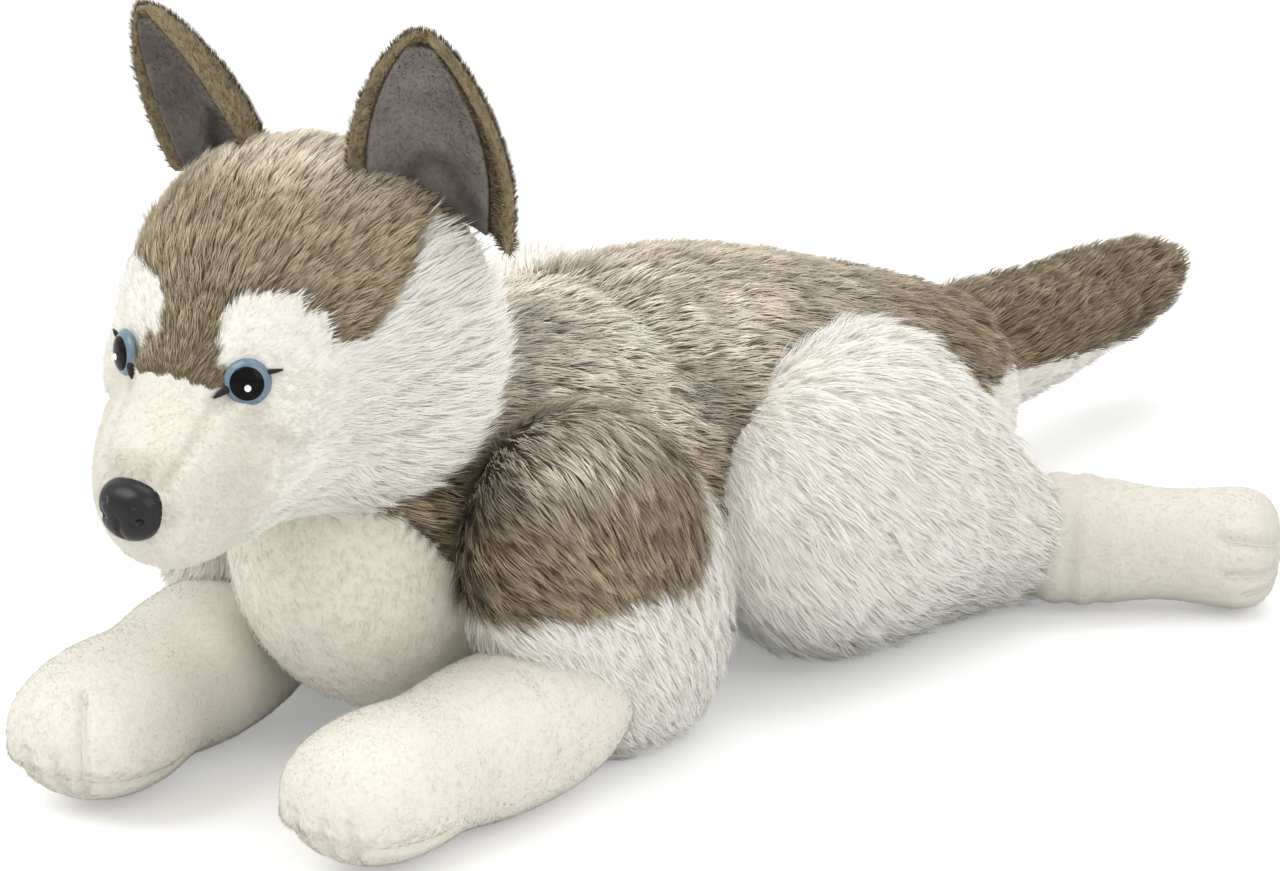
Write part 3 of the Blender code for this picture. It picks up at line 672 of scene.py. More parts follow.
forelegShape = dict(
    start={1: (0.071, -0.084, 0.030), -1: (-0.064, -0.084, 0.030)},
    tip={1: (0.064, -0.250, 0.028), -1: (-0.043, -0.254, 0.028)}, radius=0.031,
    wrist=(0.104, 0.018, 0.0026),
    rings=(
        (0.00, 0.00, 0.00), (0.03, 0.40, 0.40), (0.16, 0.85, 0.90), (0.34, 1.00, 1.00), (0.55, 1.00, 0.98),
        (0.74, 1.06, 0.96), (0.88, 1.04, 0.86), (0.97, 0.74, 0.58), (1.00, 0.00, 0.00),
    ),
)
thighShape = dict(
    start=-0.030, length=0.178, out=0.071, height=0.0, wide=0.046, tall=0.063,
    rings=(
        (0.000, 0.90, 0.95, 0.00, 0.00), (0.040, 0.92, 0.94, 0.38, 0.34), (0.120, 0.95, 0.92, 0.68, 0.63),
        (0.240, 0.97, 0.93, 0.90, 0.88), (0.400, 0.99, 0.94, 1.00, 1.00), (0.560, 1.00, 0.95, 1.00, 1.02),
        (0.670, 1.03, 0.80, 0.97, 0.86), (0.780, 1.09, 0.58, 0.88, 0.64), (0.880, 1.14, 0.40, 0.72, 0.44),
        (0.960, 1.14, 0.32, 0.42, 0.25), (1.000, 1.14, 0.32, 0.00, 0.00),
    ),
)
hindShape = dict(
    start=(0.080, 0.116, 0.026), tip=(0.1685, 0.1725, 0.022), radius=0.0245,
    rings=(
        (0.00, 0.00, 0.00), (0.05, 0.60, 0.60), (0.20, 1.15, 1.10), (0.38, 1.05, 1.05), (0.55, 0.86, 0.86),
        (0.72, 0.92, 0.92), (0.88, 1.08, 1.02), (0.97, 0.76, 0.70), (1.00, 0.00, 0.00),
    ),
    ankle=((0.030, 0.0012), (0.040, 0.0008)), ankleReach=0.0034,
)
shoulderFold = (
    (0.012, -0.020, 0.142), (0.035, -0.022, 0.133), (0.054, -0.019, 0.115), (0.064, -0.012, 0.096),
    (0.068, -0.012, 0.078),
)


def saddleLine(y):
    # height of the seam between the saddle and the white belly, along the side
    s = torsoShape
    return np.interp(y, (s["start"] - 0.03, s["start"] + 0.055, 0.125, 0.251), (0.153, 0.068, 0.068, 0.056))


def inSaddle(places):
    wander = 0.0015 * np.sin(places[:, 1] * 300.0) + 0.0010 * np.sin(places[:, 1] * 760.0)
    return places[:, 2] > saddleLine(places[:, 1]) + wander


def makeTorsoSkin():
    skin = ringSkin(loftRings(torsoShape), 10, skinMake["coarse"])
    for side in (1, -1):
        skin.crease(mirrorX(shoulderFold, side), 0.008, 0.0050)
        skin.swell(mirrorX((0.040, -0.070, 0.130), side), 0.030, 0.0030)
    skin.settle("long")
    return skin


toes = dict(
    reach=0.0022, depth=0.0019, stitch=0.00020, seat=0.84, colour=tone(226, 221, 209),
    fore={
        1: ((-26, -26, -8, -55), (4, 4, -8, -55), (30, 30, -8, -60)),
        -1: ((-26, -26, -8, -55), (2, 2, -8, -55), (24, 24, 52, -55)),
    },
    hind=((-105, -10, 26, 12), (-100, -5, -8, -10), (-80, -10, -32, -28)),
    sole=0.0165, soleReach=0.0016, soleDepth=0.0012, soleFrom=0.205,
    ridge=0.0045, ridgeReach=0.003, ridgeHeight=0.0009,
)
forearmSeam = (
    (0.060, -0.155, 0.062), (0.072, -0.154, 0.060), (0.087, -0.152, 0.050), (0.096, -0.156, 0.031),
    (0.094, -0.155, 0.010),
)
forearmCrease = ((0.091, -0.144, 0.044), (0.095, -0.143, 0.030), (0.094, -0.140, 0.016))


def grooves(skin, start, tip, lines):
    # lines over the front of a paw, each from one turn and height to another, in degrees
    start, tip = Vector(start), Vector(tip)
    middle = start.lerp(tip, toes["seat"])
    tree = skin.tree()
    paths = []
    for first, last, high, low in lines:
        path = []
        for turn, tilt in np.radians(np.linspace((first, high), (last, low), 14)):
            ahead = math.atan2(tip.y - start.y, tip.x - start.x) + turn
            ray = Vector((math.cos(ahead) * math.cos(tilt), math.sin(ahead) * math.cos(tilt), math.sin(tilt)))
            spot = tree.ray_cast(middle, ray)[0]
            if spot and spot.z > 0.002:
                path.append(tuple(spot))
        paths.append(path)
    return paths


def pawFront(places):
    return ramp(-places[:, 1], toes["soleFrom"], toes["soleFrom"] + 0.010)


def makeForeleg(side):
    s = forelegShape
    start, tip = s["start"][side], s["tip"][side]
    skin = ringSkin(straightRings(start, tip, s["radius"], s["rings"]), 8, skinMake["fine"])
    skin.settle("short")
    lines = grooves(skin, start, tip, toes["fore"][side])
    for line in lines:
        skin.crease(line, toes["reach"], toes["depth"])
    # the band of the sole, and the ridge over it
    band = bump(skin.points[:, 2] - toes["sole"], toes["soleReach"])
    skin.move(-toes["soleDepth"] * pawFront(skin.points) * band)
    band = bump(skin.points[:, 2] - toes["sole"] - toes["ridge"], toes["ridgeReach"])
    skin.move(toes["ridgeHeight"] * pawFront(skin.points) * band)
    place, reach, depth = s["wrist"]
    along = unit(np.array(tip) - np.array(start))
    skin.move(-depth * bump((skin.points - np.array(start)) @ along - place, reach))
    skin.crease(mirrorX(forearmSeam, side), 0.0022, 0.0014)
    skin.crease(mirrorX(forearmCrease, side), 0.0020, 0.0010)
    return skin, lines


def makeHind(side):
    s = hindShape
    start, tip = mirrorX(s["start"], side), mirrorX(s["tip"], side)
    skin = ringSkin(straightRings(start, tip, s["radius"], s["rings"]), 8, skinMake["fine"])
    skin.settle("short")
    lines = [(first * side, last * side, high, low) for first, last, high, low in toes["hind"]]
    lines = grooves(skin, start, tip, lines)
    for line in lines:
        skin.crease(line, toes["reach"], toes["depth"])
    along = unit(tip - start)
    for place, depth in s["ankle"]:
        skin.move(-depth * bump((skin.points - start) @ along - place, s["ankleReach"]))
    return skin, lines


def makeLimbSkins(side):
    s = shoulderShape
    shoulder = ringSkin(ballRings(mirrorX(s["centre"], side), s["half"], s["lean"]), 8, skinMake["coarse"])
    shoulder.settle("long")
    foreleg, foreToes = makeForeleg(side)
    thigh = ringSkin(loftRings(thighShape, side), 8, skinMake["coarse"])
    thigh.settle("long")
    hind, hindToes = makeHind(side)
    return (shoulder, foreleg, thigh, hind), (foreToes, hindToes)


# Pile

def strandTones(root, middle, tip, pale=None):
    seen = (root, middle, tip, pale or tip)
    return {label: tone(*levels) for label, levels in zip(("root", "middle", "tip", "pale"), seen)}


brown = strandTones((106, 93, 73), (172, 156, 127), (221, 208, 179), (234, 225, 203))
darkBrown = strandTones((80, 69, 54), (148, 131, 106), (212, 197, 168), (240, 231, 212))
tailBrown = strandTones((72, 62, 48), (130, 115, 93), (196, 181, 153))
white = strandTones((230, 227, 217), (244, 242, 235), (250, 249, 244))
cream = strandTones((229, 226, 215), (229, 226, 215), (233, 231, 221))
velvet = strandTones((219, 216, 204), (222, 219, 207), (234, 232, 222), (246, 244, 237))
# the paws' cream made darker, as painted shade on the hind feet
shadedHindCream = strandTones((216, 213, 202), (216, 213, 202), (221, 219, 209))


def folded(places):
    # the same place on the left side, so that both sides match
    return places * np.array((0.0, 1.0, 1.0)) + np.abs(places) * np.array((1.0, 0.0, 0.0))


def cloud(places, size, stretch, seed):
    # soft light and dark patches, longer from head to tail than across
    rng = np.random.default_rng(seed)
    made = np.zeros(len(places))
    for _ in range(7):
        across = rng.normal(0.0, 1.0, 3) / size
        across[1] /= stretch
        made += np.sin(places @ across + rng.uniform(0.0, 6.28))
    return made / 7.0 ** 0.5


def wave(places, size):
    return np.sin(places[:, 1] / size + 2.0 * np.sin(places[:, 0] / size)) * np.sin(places[:, 2] / size + 1.3)


def steady(out, back, up, swing=0.12, size=0.020):
    # pile that lies one way over a form, mirrored from side to side
    def flow(places):
        sideways = out * np.clip(places[:, 0] / 0.03, -1.0, 1.0)
        made = np.stack([sideways, np.full(len(places), back), np.full(len(places), up)], axis=1)
        made[:, 1] += swing * wave(places, size)
        made[:, 2] += swing * wave(places[:, [2, 0, 1]], size)
        return made
    return flow


def noseFlow(places):
    return unit(places - np.array((0.0, -0.262, 0.150)))


def crownFlow(places):
    return unit(places - np.array((0.0, -0.240, 0.150))) + np.array((0.0, 0.25, 0.0))


def bellyFlow(places):
    # down on the chest, backward on the sides
    chest = ramp(-places[:, 1], 0.110, 0.150).reshape(-1, 1)
    return chest * steady(0.25, 0.15, -1.0)(places) + (1.0 - chest) * steady(0.1, 1.0, -0.45)(places)


def thighFlow(places):
    # steep at the front of the thigh, flatter behind
    front = ramp(-places[:, 1], -0.060, 0.010).reshape(-1, 1)
    return front * steady(0.5, 0.35, -0.85)(places) + (1.0 - front) * steady(0.5, 0.75, -0.55)(places)


def shoulderFlow(places):
    # steep down the front edge, flatter behind
    front = ramp(-places[:, 1], 0.085, 0.135).reshape(-1, 1)
    return front * steady(1.00, 0.05, -0.60)(places) + (1.0 - front) * steady(1.00, 0.20, -0.50)(places)


def pawShare(places):
    # a tufty ridge over the sole band
    return 1.0 + 1.1 * pawFront(places) * bump(places[:, 2] - toes["sole"] - 0.0050, 0.0030)


def chestShare(places):
    return 1.0 - 0.45 * ramp(-places[:, 1], 0.120, 0.150)


# a cream tint on the chest, and painted shade on its upper part under the chin
def chestCreamAndShade(places):
    chest = ramp(-places[:, 1], 0.115, 0.145)[:, None]
    under = ramp(places[:, 2], 0.062, 0.100)[:, None]
    return 1.0 - chest * (np.array((0.06, 0.065, 0.12)) + under * np.array((0.10, 0.10, 0.14)))


def thighShade(places):
    return (1.0 - 0.24 * ramp(-places[:, 2], -0.045, -0.008)).reshape(-1, 1)


longPile = dict(tuft=0.08, tuftTurn=0.12, tuftLength=0.15, turn=0.10, pull=0.40, fall=0.30, smooth=0.65)
whitePile = dict(longPile, smooth=0.86, pull=0.42, tuftTurn=0.14)
shortPile = dict(long=0.0, tuft=0.10, tuftTurn=0.15, tuftLength=0.10, turn=0.25, pull=0.10, fall=0.60, smooth=0.80)
velvetPile = dict(shortPile, lift=0.38, smooth=0.90, tuftTint=0.008, tint=0.012)
piles = {
    "crown": dict(
        brown, **longPile, long=1.10, under=0.80, length=0.0080, width=0.00030, lift=0.48, tuftTint=0.09, tint=0.12,
        flow=crownFlow,
    ),
    "cheek": dict(
        white, **whitePile, long=0.95, under=0.60, length=0.0130, width=0.00032, lift=0.54, tuftTint=0.02, tint=0.025,
        flow=noseFlow,
    ),
    "muzzle": dict(
        velvet, **shortPile, under=2.00, length=0.0032, width=0.00026, lift=0.45, tuftTint=0.015, tint=0.025,
        flow=noseFlow,
    ),
    "saddle": dict(
        darkBrown, **longPile, long=0.58, under=0.40, length=0.0120, width=0.00036, lift=0.42, tuftTint=0.14,
        tint=0.12, flow=steady(0.35, 1.0, -0.40),
    ),
    "belly": dict(
        white, **whitePile, long=0.20, under=0.50, length=0.0080, width=0.00038, lift=0.42, tuftTint=0.015, tint=0.02,
        flow=bellyFlow, share=chestShare, shade=chestCreamAndShade,
    ),
    "shoulder": dict(
        darkBrown, **longPile, long=0.95, under=0.50, length=0.0120, width=0.00034, lift=0.42, tuftTint=0.14,
        tint=0.12, flow=shoulderFlow,
    ),
    "upper_leg": dict(
        white, **whitePile, long=0.60, under=0.60, length=0.0100, width=0.00034, lift=0.55, tuftTint=0.02, tint=0.025,
        flow=steady(0.6, 0.3, -0.75),
    ),
    "thigh": dict(
        white, **whitePile, long=0.55, under=0.40, length=0.0120, width=0.00036, lift=0.46, tuftTint=0.02, tint=0.03,
        flow=thighFlow, shade=thighShade,
    ),
    "forepaw": dict(
        cream, **velvetPile, under=1.55, length=0.0026, width=0.00024, flow=steady(0.0, -1.0, -0.3), share=pawShare,
    ),
    "hind_paw": dict(
        shadedHindCream, **velvetPile, under=1.40, length=0.0026, width=0.00024, flow=steady(0.6, 0.8, -0.3),
    ),
}


def everywhere(places):
    return np.ones(len(places), bool)


def plainTone(colour):
    return lambda points: np.tile(colour, (len(points), 1))


def brownWhere(inside):
    # cloth under brown pile, and white beside it
    return lambda points: np.where(inside(points)[:, None], brown["root"], white["middle"])

def inShoulder(places):
    wander = 0.0012 * np.sin(places[:, 1] * 420.0) + 0.0008 * np.sin(places[:, 1] * 900.0 + 1.0)
    s = shoulderShape
    rear = ramp(places[:, 1], -0.075, -0.045)
    return places[:, 2] > s["edge"] + s["pileEdge"] + s["pileRise"] * rear + wander


# Build the forms

print("forms")
head = makeHeadSkin()
torso = makeTorsoSkin()
tail = ringSkin(loftRings(tailShape), 8, skinMake["coarse"])
tail.settle("long")
limbs, toeLines = {}, {}
for side in (1, -1):
    limbs[side], toeLines[side] = makeLimbSkins(side)
skins = dict(head=head, torso=torso, tail=tail)
for side in (1, -1):
    for label, skin in zip(("shoulder", "foreleg", "thigh", "hind"), limbs[side]):
        skins[f"{label}{side}"] = skin
treeOf = {label: (skin, skin.tree()) for label, skin in skins.items()}


def others(*labels):
    return [treeOf[label] for label in labels]


# Head pieces

print("head")


def crownShade(places):
    bridge = bump(np.linalg.norm(folded(places) - np.array((0.0, -0.240, 0.168)), axis=1), 0.014)
    patches = 0.12 * cloud(places, 0.005, 1.5, 7)
    return (1.0 - 0.26 * bump(crownEdge(places), 4.0) - 0.30 * bridge + patches).reshape(-1, 1)


def crownLight(places):
    return (ramp(places[:, 2], 0.206, 0.228) * ramp(places[:, 1], -0.205, -0.180)).reshape(-1, 1)


def crownShare(places):
    round_, up = headAngles(places)
    return 0.55 + 0.45 * ramp(up, 0.0, 35.0) + 0.35 * ramp(round_, 120.0, 150.0)


def cheekShare(places):
    round_, up = headAngles(places)
    share = 0.42 + 0.58 * ramp(round_, 40.0, 85.0)
    return share * (1.0 - 0.35 * ramp(up, -45.0, -80.0))


def muzzleShade(places):
    near = folded(places)
    above = np.linalg.norm((near - np.array((0.004, -0.254, 0.1385))) * np.array((1.0, 1.0, 1.6)), axis=1)
    beside = np.linalg.norm(near - np.array((0.0125, -0.258, 0.127)), axis=1)
    line = bump(toPath(near, faceLines["noseSeam"]), 0.0016)
    fold = bump(toPath(near, faceLines["underEye"]), 0.0024)
    flank = ramp(np.abs(places[:, 0]), 0.016, 0.030) * ramp(-places[:, 1], 0.226, 0.240)
    dark = 0.55 * bump(above, 0.0075) + 0.30 * bump(beside, 0.0045) + 0.20 * line + 0.12 * fold + 0.12 * flank
    return 1.0 - np.clip(dark, 0.0, 0.7)[:, None] * np.array((0.85, 0.95, 1.10))


def muzzleEdge(places):
    # towards the cheek the velvet turns into the longer white pile
    return ramp(places[:, 1], -0.238, -0.220)


def muzzleCloth(places):
    edge = muzzleEdge(places)[:, None]
    return (velvet["middle"] * (1.0 - edge) + white["middle"] * edge) * muzzleShade(places)


piles["muzzle"].update(
    shade=muzzleShade, light=lambda p: muzzleEdge(p)[:, None], share=lambda p: 1.0 + 1.1 * muzzleEdge(p)
)
neck = others("torso")
piles["crown"].update(shade=crownShade, light=crownLight, share=crownShare)
piles["cheek"].update(share=cheekShare)
centroids = head.corners.mean(axis=1)
crownFaces = inCrown(centroids)
muzzleFaces = inMuzzle(centroids)
crownTone = brownWhere(inCrown)
clothPiece("crown_cloth", head, crownFaces, crownTone, "grey_brown_pile",
           ["crown_panel", "head_filling"], neck)
clothPiece("muzzle_cloth", head, muzzleFaces, muzzleCloth, "white_short_pile", ["muzzle_panel"])
growPile("crown_pile", head, piles["crown"], 11, inCrown, "grey_brown_pile", neck)
growPile("muzzle_pile", head, piles["muzzle"], 12, inMuzzle, "white_short_pile", neck)
for side, word in sides:
    chosen = ~crownFaces & ~muzzleFaces & ((centroids[:, 0] > 0.0) == (side > 0))
    clothPiece(f"cheek_cloth_{word}", head, chosen, crownTone, "white_long_pile",
               [f"cheek_panel_{word}", f"brow_patch_{word}"], neck)
    growPile(f"cheek_pile_{word}", head, piles["cheek"], 13 + side,
             lambda p, s=side: (p[:, 0] * s > 0.0) & ~inCrown(p) & ~inMuzzle(p), "white_long_pile", neck)


# Ears

ears = dict(
    length={1: 0.087, -1: 0.071}, halfWidth=0.0275, base=(0.045, -0.158, 0.202), facing=(0.30, -0.95, 0.0),
    axis={1: (0.22, -0.35, 0.91), -1: (-0.15, -0.35, 0.91)}, cup=math.radians(62), foot=-0.06,
    cloth=0.0042, clothSet=0.0004, liningCloth=0.0016, liningSet=0.0024, liningTop=0.93,
    # the far ear's lining is darker, as painted shade
    liningTone={1: 1.0, -1: 0.72}, lining={1: (-0.84, 0.62), -1: (-0.86, 0.50)},
    rows=(
        (0.00, 0.96), (0.14, 1.00), (0.30, 0.99), (0.46, 0.90), (0.62, 0.75), (0.77, 0.55), (0.89, 0.34), (0.97, 0.16),
        (1.00, 0.05),
    ),
)
# Lines over the lining, as height and across: painted shade along the fold, painted light along its ridge
earFold = ((0.02, -0.40), (0.16, -0.36), (0.25, -0.20), (0.22, 0.05), (0.12, 0.28), (0.06, 0.40))
earRidge = ((0.02, -0.56), (0.20, -0.52), (0.33, -0.28), (0.34, 0.00))
olive = strandTones((108, 95, 71), (153, 137, 106), (206, 193, 160))
grey = strandTones((112, 105, 100), (138, 130, 125), (170, 162, 157), (196, 189, 182))


def earPoint(side, height, across, offset):
    # height and across run 0 to 1 and -1 to 1 over the leaf; offset is towards the opening
    axis = Vector(ears["axis"][side]).normalized()
    facing = Vector(mirrorX(ears["facing"], side))
    facing = (facing - axis * facing.dot(axis)).normalized()
    width = axis.cross(facing)
    share = np.interp(height, [r[0] for r in ears["rows"]], [r[1] for r in ears["rows"]])
    radius = ears["halfWidth"] * share / math.sin(ears["cup"])
    turn = ears["cup"] * across
    inner = radius - offset
    bow = radius * math.cos(ears["cup"]) - inner * math.cos(turn)
    return (Vector(mirrorX(ears["base"], side)) + axis * (ears["length"][side] * height)
            + width * (inner * math.sin(turn)) + facing * bow)


def leafSkin(side, low, high, left, right, thick, offset):
    # a closed leaf: front grid, back grid and the rim between them, subdivided round
    rows, columns = 12, 10
    front, back = [], []
    for i in range(rows + 1):
        height = low + (high - low) * i / rows
        for k in range(columns + 1):
            across = left + (right - left) * k / columns
            front.append(earPoint(side, height, across, offset))
            back.append(earPoint(side, height, across, offset - thick))
    step = columns + 1
    count = len(front)
    faces = []
    for i in range(rows):
        for k in range(columns):
            a = i * step + k
            faces.append((a, a + 1, a + 1 + step, a + step))
            faces.append((count + a, count + a + step, count + a + 1 + step, count + a + 1))
    edge = [k for k in range(step)] + [i * step + columns for i in range(1, rows + 1)]
    edge += [rows * step + k for k in range(columns - 1, -1, -1)] + [i * step for i in range(rows - 1, 0, -1)]
    for a, b in zip(edge, edge[1:] + edge[:1]):
        faces.append((a, count + a, count + b, b))
    return smoothed(front + back, faces, 1)


def earFlow(side):
    axis = unit(np.array(ears["axis"][side]))
    return lambda places: np.tile(axis, (len(places), 1))


def liningPath(side, spots):
    return [tuple(earPoint(side, height, across, ears["liningSet"])) for height, across in spots]


def liningShade(side):
    # painted shade along a gathered fold across the base of the lining, painted light on the ridge beside it, and the
    # far ear's lining darker as painted shade
    fold, ridge = liningPath(side, earFold), liningPath(side, earRidge)
    return lambda p: (ears["liningTone"][side] - 0.48 * bump(toPath(p, fold), 0.0042)
                      + 0.14 * bump(toPath(p, ridge), 0.0040) + 0.07 * cloud(p, 0.006, 1.0, 8))[:, None]


def liningLight(side):
    # the pale line of the seam down the outer edge
    outer = ears["lining"][side][1]
    edge = liningPath(side, [(height, outer) for height in np.linspace(0.0, ears["liningTop"], 14)])
    return lambda p: 0.8 * bump(toPath(p, edge), 0.0011)[:, None]


for side, word in sides:
    back = leafSkin(side, ears["foot"], 1.0, -1.0, 1.0, ears["cloth"], ears["clothSet"])
    lining = leafSkin(
        side, ears["foot"], ears["liningTop"], *ears["lining"][side], ears["liningCloth"], ears["liningSet"])
    clothPiece(f"ear_back_cloth_{word}", back, None, plainTone(olive["middle"]), "olive_brown_pile",
               [f"ear_back_{word}"])
    shade = liningShade(side)
    clothPiece(f"ear_lining_cloth_{word}", lining, None, lambda p: grey["middle"] * shade(p), "grey_lining",
               [f"ear_lining_{word}"])
    earPile = dict(shortPile, **olive, under=2.00, length=0.0058, width=0.00030, lift=0.75, tuftTint=0.08, tint=0.14,
                   flow=earFlow(side), smooth=0.50, pull=0.30, fall=0.45)
    growPile(f"ear_back_pile_{word}", back, earPile, 31 + side, everywhere, "olive_brown_pile", others("head"))
    liningPile = dict(shortPile, **grey, under=1.60, length=0.0030, width=0.00028, lift=0.45, tuftTint=0.05,
                      tint=0.09, flow=earFlow(side), shade=shade, light=liningLight(side), smooth=0.70)
    growPile(f"ear_lining_pile_{word}", lining, liningPile, 41 + side, everywhere, "grey_lining", others("head"))


def threadPiece(name, path, radii, coating, slot):
    # a thread or a stitched corner: a thin tube along a path, tapering with its radii
    steps = 8
    points = []
    places = [Vector(p) for p in path]
    for k, place in enumerate(places):
        along = (places[min(k + 1, len(places) - 1)] - places[max(k - 1, 0)]).normalized()
        across = along.cross(Vector((0.0, 0.0, 1.0))).normalized()
        up = across.cross(along)
        points += [place + (across * math.cos(turn) + up * math.sin(turn)) * radii[k] for turn in turns(steps)]
    faces = bandTriangles([range(k, k + steps) for k in range(0, len(points), steps)])
    last = len(points) - steps
    for n in range(1, steps - 1):
        faces += [(0, n + 1, n), (last, last + n, last + n + 1)]
    finishPiece(meshObject(name, [tuple(p) for p in points], faces), slot, coating=coating)


# Eyes and nose

def turnedSkin(profile, seat, outward):
    # a profile of (radius, height) turned round the outward axis; it starts and ends on the axis
    steps = eyes["steps"]
    spin = outward.to_track_quat("Z", "Y").to_matrix()
    points, rows = [], []
    for radius, height in profile:
        first = len(points)
        if radius == 0.0:
            points.append(Vector(seat) + spin @ Vector((0.0, 0.0, height)))
            rows.append([first] * steps)
            continue
        for turn in turns(steps):
            place = Vector((radius * math.cos(turn), radius * math.sin(turn), height))
            points.append(Vector(seat) + spin @ place)
        rows.append(list(range(first, first + steps)))
    return Skin(np.array([tuple(p) for p in points]), np.array(bandTriangles(rows)))


def capProfile(high, lift, steps=12):
    # the middle of the eye's dome, raised a little and closed by a flat back
    reach = eyes["radius"] * eyes["flatter"]
    rise = [eyes["dome"] * math.sqrt(1.0 - (high * k / steps / reach) ** 2) for k in range(steps + 1)]
    outer = [(high * k / steps, rise[k] + lift) for k in range(steps + 1)]
    return outer + [(high, rise[-1] - eyes["back"]), (0.0, -eyes["back"])]


# The stitched corners of an eye: name, line and half widths
eyeCorners = (
    ("inner_corner",
     ((0.0215, -0.2352, 0.1652), (0.0200, -0.2368, 0.1638), (0.0183, -0.2384, 0.1624), (0.0168, -0.2396, 0.1612)),
     (0.0014, 0.0015, 0.0010, 0.0003)),
    ("outer_corner",
     ((0.0310, -0.2278, 0.1700), (0.0328, -0.2262, 0.1704), (0.0345, -0.2246, 0.1707)),
     (0.0009, 0.0008, 0.0003)),
)
finishes["eye_plastic"] = plainMaterial("eye blue", eyes["blue"], 0.18, 900.0, 0.25, specular=0.3, coat=0.15)
eyeBlack = plainMaterial("eye black", eyes["black"], 0.12, 300.0, 0.1, specular=0.12)
eyePaintedHighlight = plainMaterial("eye white", eyes["white"], 0.2, 300.0, 0.02, coat=0.5)
stitchTone = plainMaterial("toe stitch", toes["colour"], 0.9, 1500.0, 0.3, 0.0002)
threadBlack = plainMaterial("eye corner thread", tone(38, 32, 30), 0.9, 1500.0, 0.4, 0.0003)
for side, word in sides:
    seat, outward = eyeSeat(side)
    # the white dot is a painted highlight, low on the eye and towards its outer side
    glint = seat + np.array((eyes["dotOut"] * side, 0.0, -eyes["dotDrop"]))
    for label, reach, lift, middle, coating in (
        ("iris", eyes["radius"], 0.0, seat, None),
        ("pupil", eyes["pupil"], eyes["pupilLift"], seat, eyeBlack),
        ("dot", eyes["dot"], eyes["dotLift"], glint, eyePaintedHighlight),
    ):
        cap = turnedSkin(capProfile(reach, lift), middle, outward)
        made = meshObject(f"eye_{label}_{word}", cap.points, cap.triangles)
        finishPiece(made, "eye_plastic", [f"eye_{word}"] if label == "iris" else (), coating=coating)
    for label, path, radii in eyeCorners:
        laid = [head.nearest(p, eyes["threadProud"]) for p in mirrorX(path, side)]
        threadPiece(f"eye_{label}_{word}", laid, radii, threadBlack, "olive_brown_pile")

noseLow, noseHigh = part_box("nose")
noseMake = dict(
    colour=tone(24, 24, 27), grain=0.0001, depth=0.010, power=0.80, steps=72, rows=48,
    topWider=0.10, sideLower=0.06,
)


def makeNose():
    # a rounded block, wide at the top, with comma nostrils and a split below
    width = 0.5 * (noseHigh.x - noseLow.x)
    height = 0.5 * (noseHigh.z - noseLow.z)
    middle = 0.5 * (noseHigh.z + noseLow.z)
    front = noseLow.y
    steps, rows = noseMake["steps"], noseMake["rows"]
    points = []
    for tilt in (math.pi * i / rows for i in range(rows + 1)):
        for turn in turns(steps):
            points.append((math.sin(tilt) * math.cos(turn), -math.cos(tilt), math.sin(tilt) * math.sin(turn)))
    ball = np.array(points)
    shaped = np.sign(ball) * np.abs(ball) ** noseMake["power"]
    shaped[:, 0] *= width * (1.0 + noseMake["topWider"] * shaped[:, 2])
    shaped[:, 2] *= height * (1.0 - noseMake["sideLower"] * np.abs(ball[:, 0]))
    shaped[:, 1] *= noseMake["depth"]
    faces = bandTriangles([range(k, k + steps) for k in range(0, len(points), steps)])
    shaped += np.array((0.0, front + noseMake["depth"], middle))
    used, index = np.unique(np.round(shaped, 7), axis=0, return_inverse=True)
    tri = index.reshape(-1)[np.array(faces)]
    tri = tri[(tri[:, 0] != tri[:, 1]) & (tri[:, 1] != tri[:, 2]) & (tri[:, 0] != tri[:, 2])]
    nose = Skin(used, tri)
    for side in (1, -1):
        nostril = [(side * (0.0052 + 0.0030 * math.sin(t)), front + 0.0015 + 0.0016 * math.sin(t),
                    middle + 0.0010 + 0.0030 * math.cos(t)) for t in np.linspace(0.2, 2.9, 8)]
        nose.crease(nostril, 0.0012, 0.0016)
        slit = [(side * 0.0078, front + 0.0024, middle - 0.0018), (side * 0.0102, front + 0.0060, middle - 0.0030)]
        nose.crease(slit, 0.0011, 0.0018)
    nose.crease(((0.0, front, middle - 0.002), (0.0, front + 0.003, middle - height)), 0.0009, 0.0009)
    return nose


nose = makeNose()
finishes["nose_plastic"] = plainMaterial(
    "nose black", noseMake["colour"], 0.30, 900.0, 0.2, noseMake["grain"], specular=0.35)
finishPiece(meshObject("nose_button", nose.points, nose.triangles), "nose_plastic", ["nose"])

# Body pieces

print("body")
neckLine = (
    (0.010, -0.066, 0.148), (0.030, -0.094, 0.142), (0.040, -0.110, 0.135), (0.047, -0.123, 0.123),
    (0.043, -0.148, 0.114),
)


def saddleShade(places):
    edge = bump(places[:, 2] - saddleLine(places[:, 1]), 0.010)
    fold = bump(toPath(folded(places), shoulderFold), 0.011)
    neckShade = bump(toPath(folded(places), neckLine), 0.010)
    patches = 0.14 * cloud(places, 0.006, 2.5, 5)
    return (1.0 - 0.25 * edge - 0.36 * fold - 0.42 * neckShade + patches).reshape(-1, 1)


def saddleLight(places):
    away = folded(places) - np.array((0.030, -0.050, 0.140))
    top = ramp(places[:, 2] - saddleLine(places[:, 1]), 0.018, 0.052) * 0.60
    return np.clip(0.95 * bump(np.linalg.norm(away, axis=1), 0.052) + top, 0.0, 1.0).reshape(-1, 1)


piles["saddle"].update(shade=saddleShade, light=saddleLight)


def shoulderShade(places):
    edge = bump(places[:, 2] - shoulderShape["edge"], 0.012)
    front = ramp(-places[:, 1], 0.115, 0.150)
    return (1.0 - 0.30 * edge - 0.14 * front + 0.14 * cloud(places, 0.005, 2.0, 6)).reshape(-1, 1)


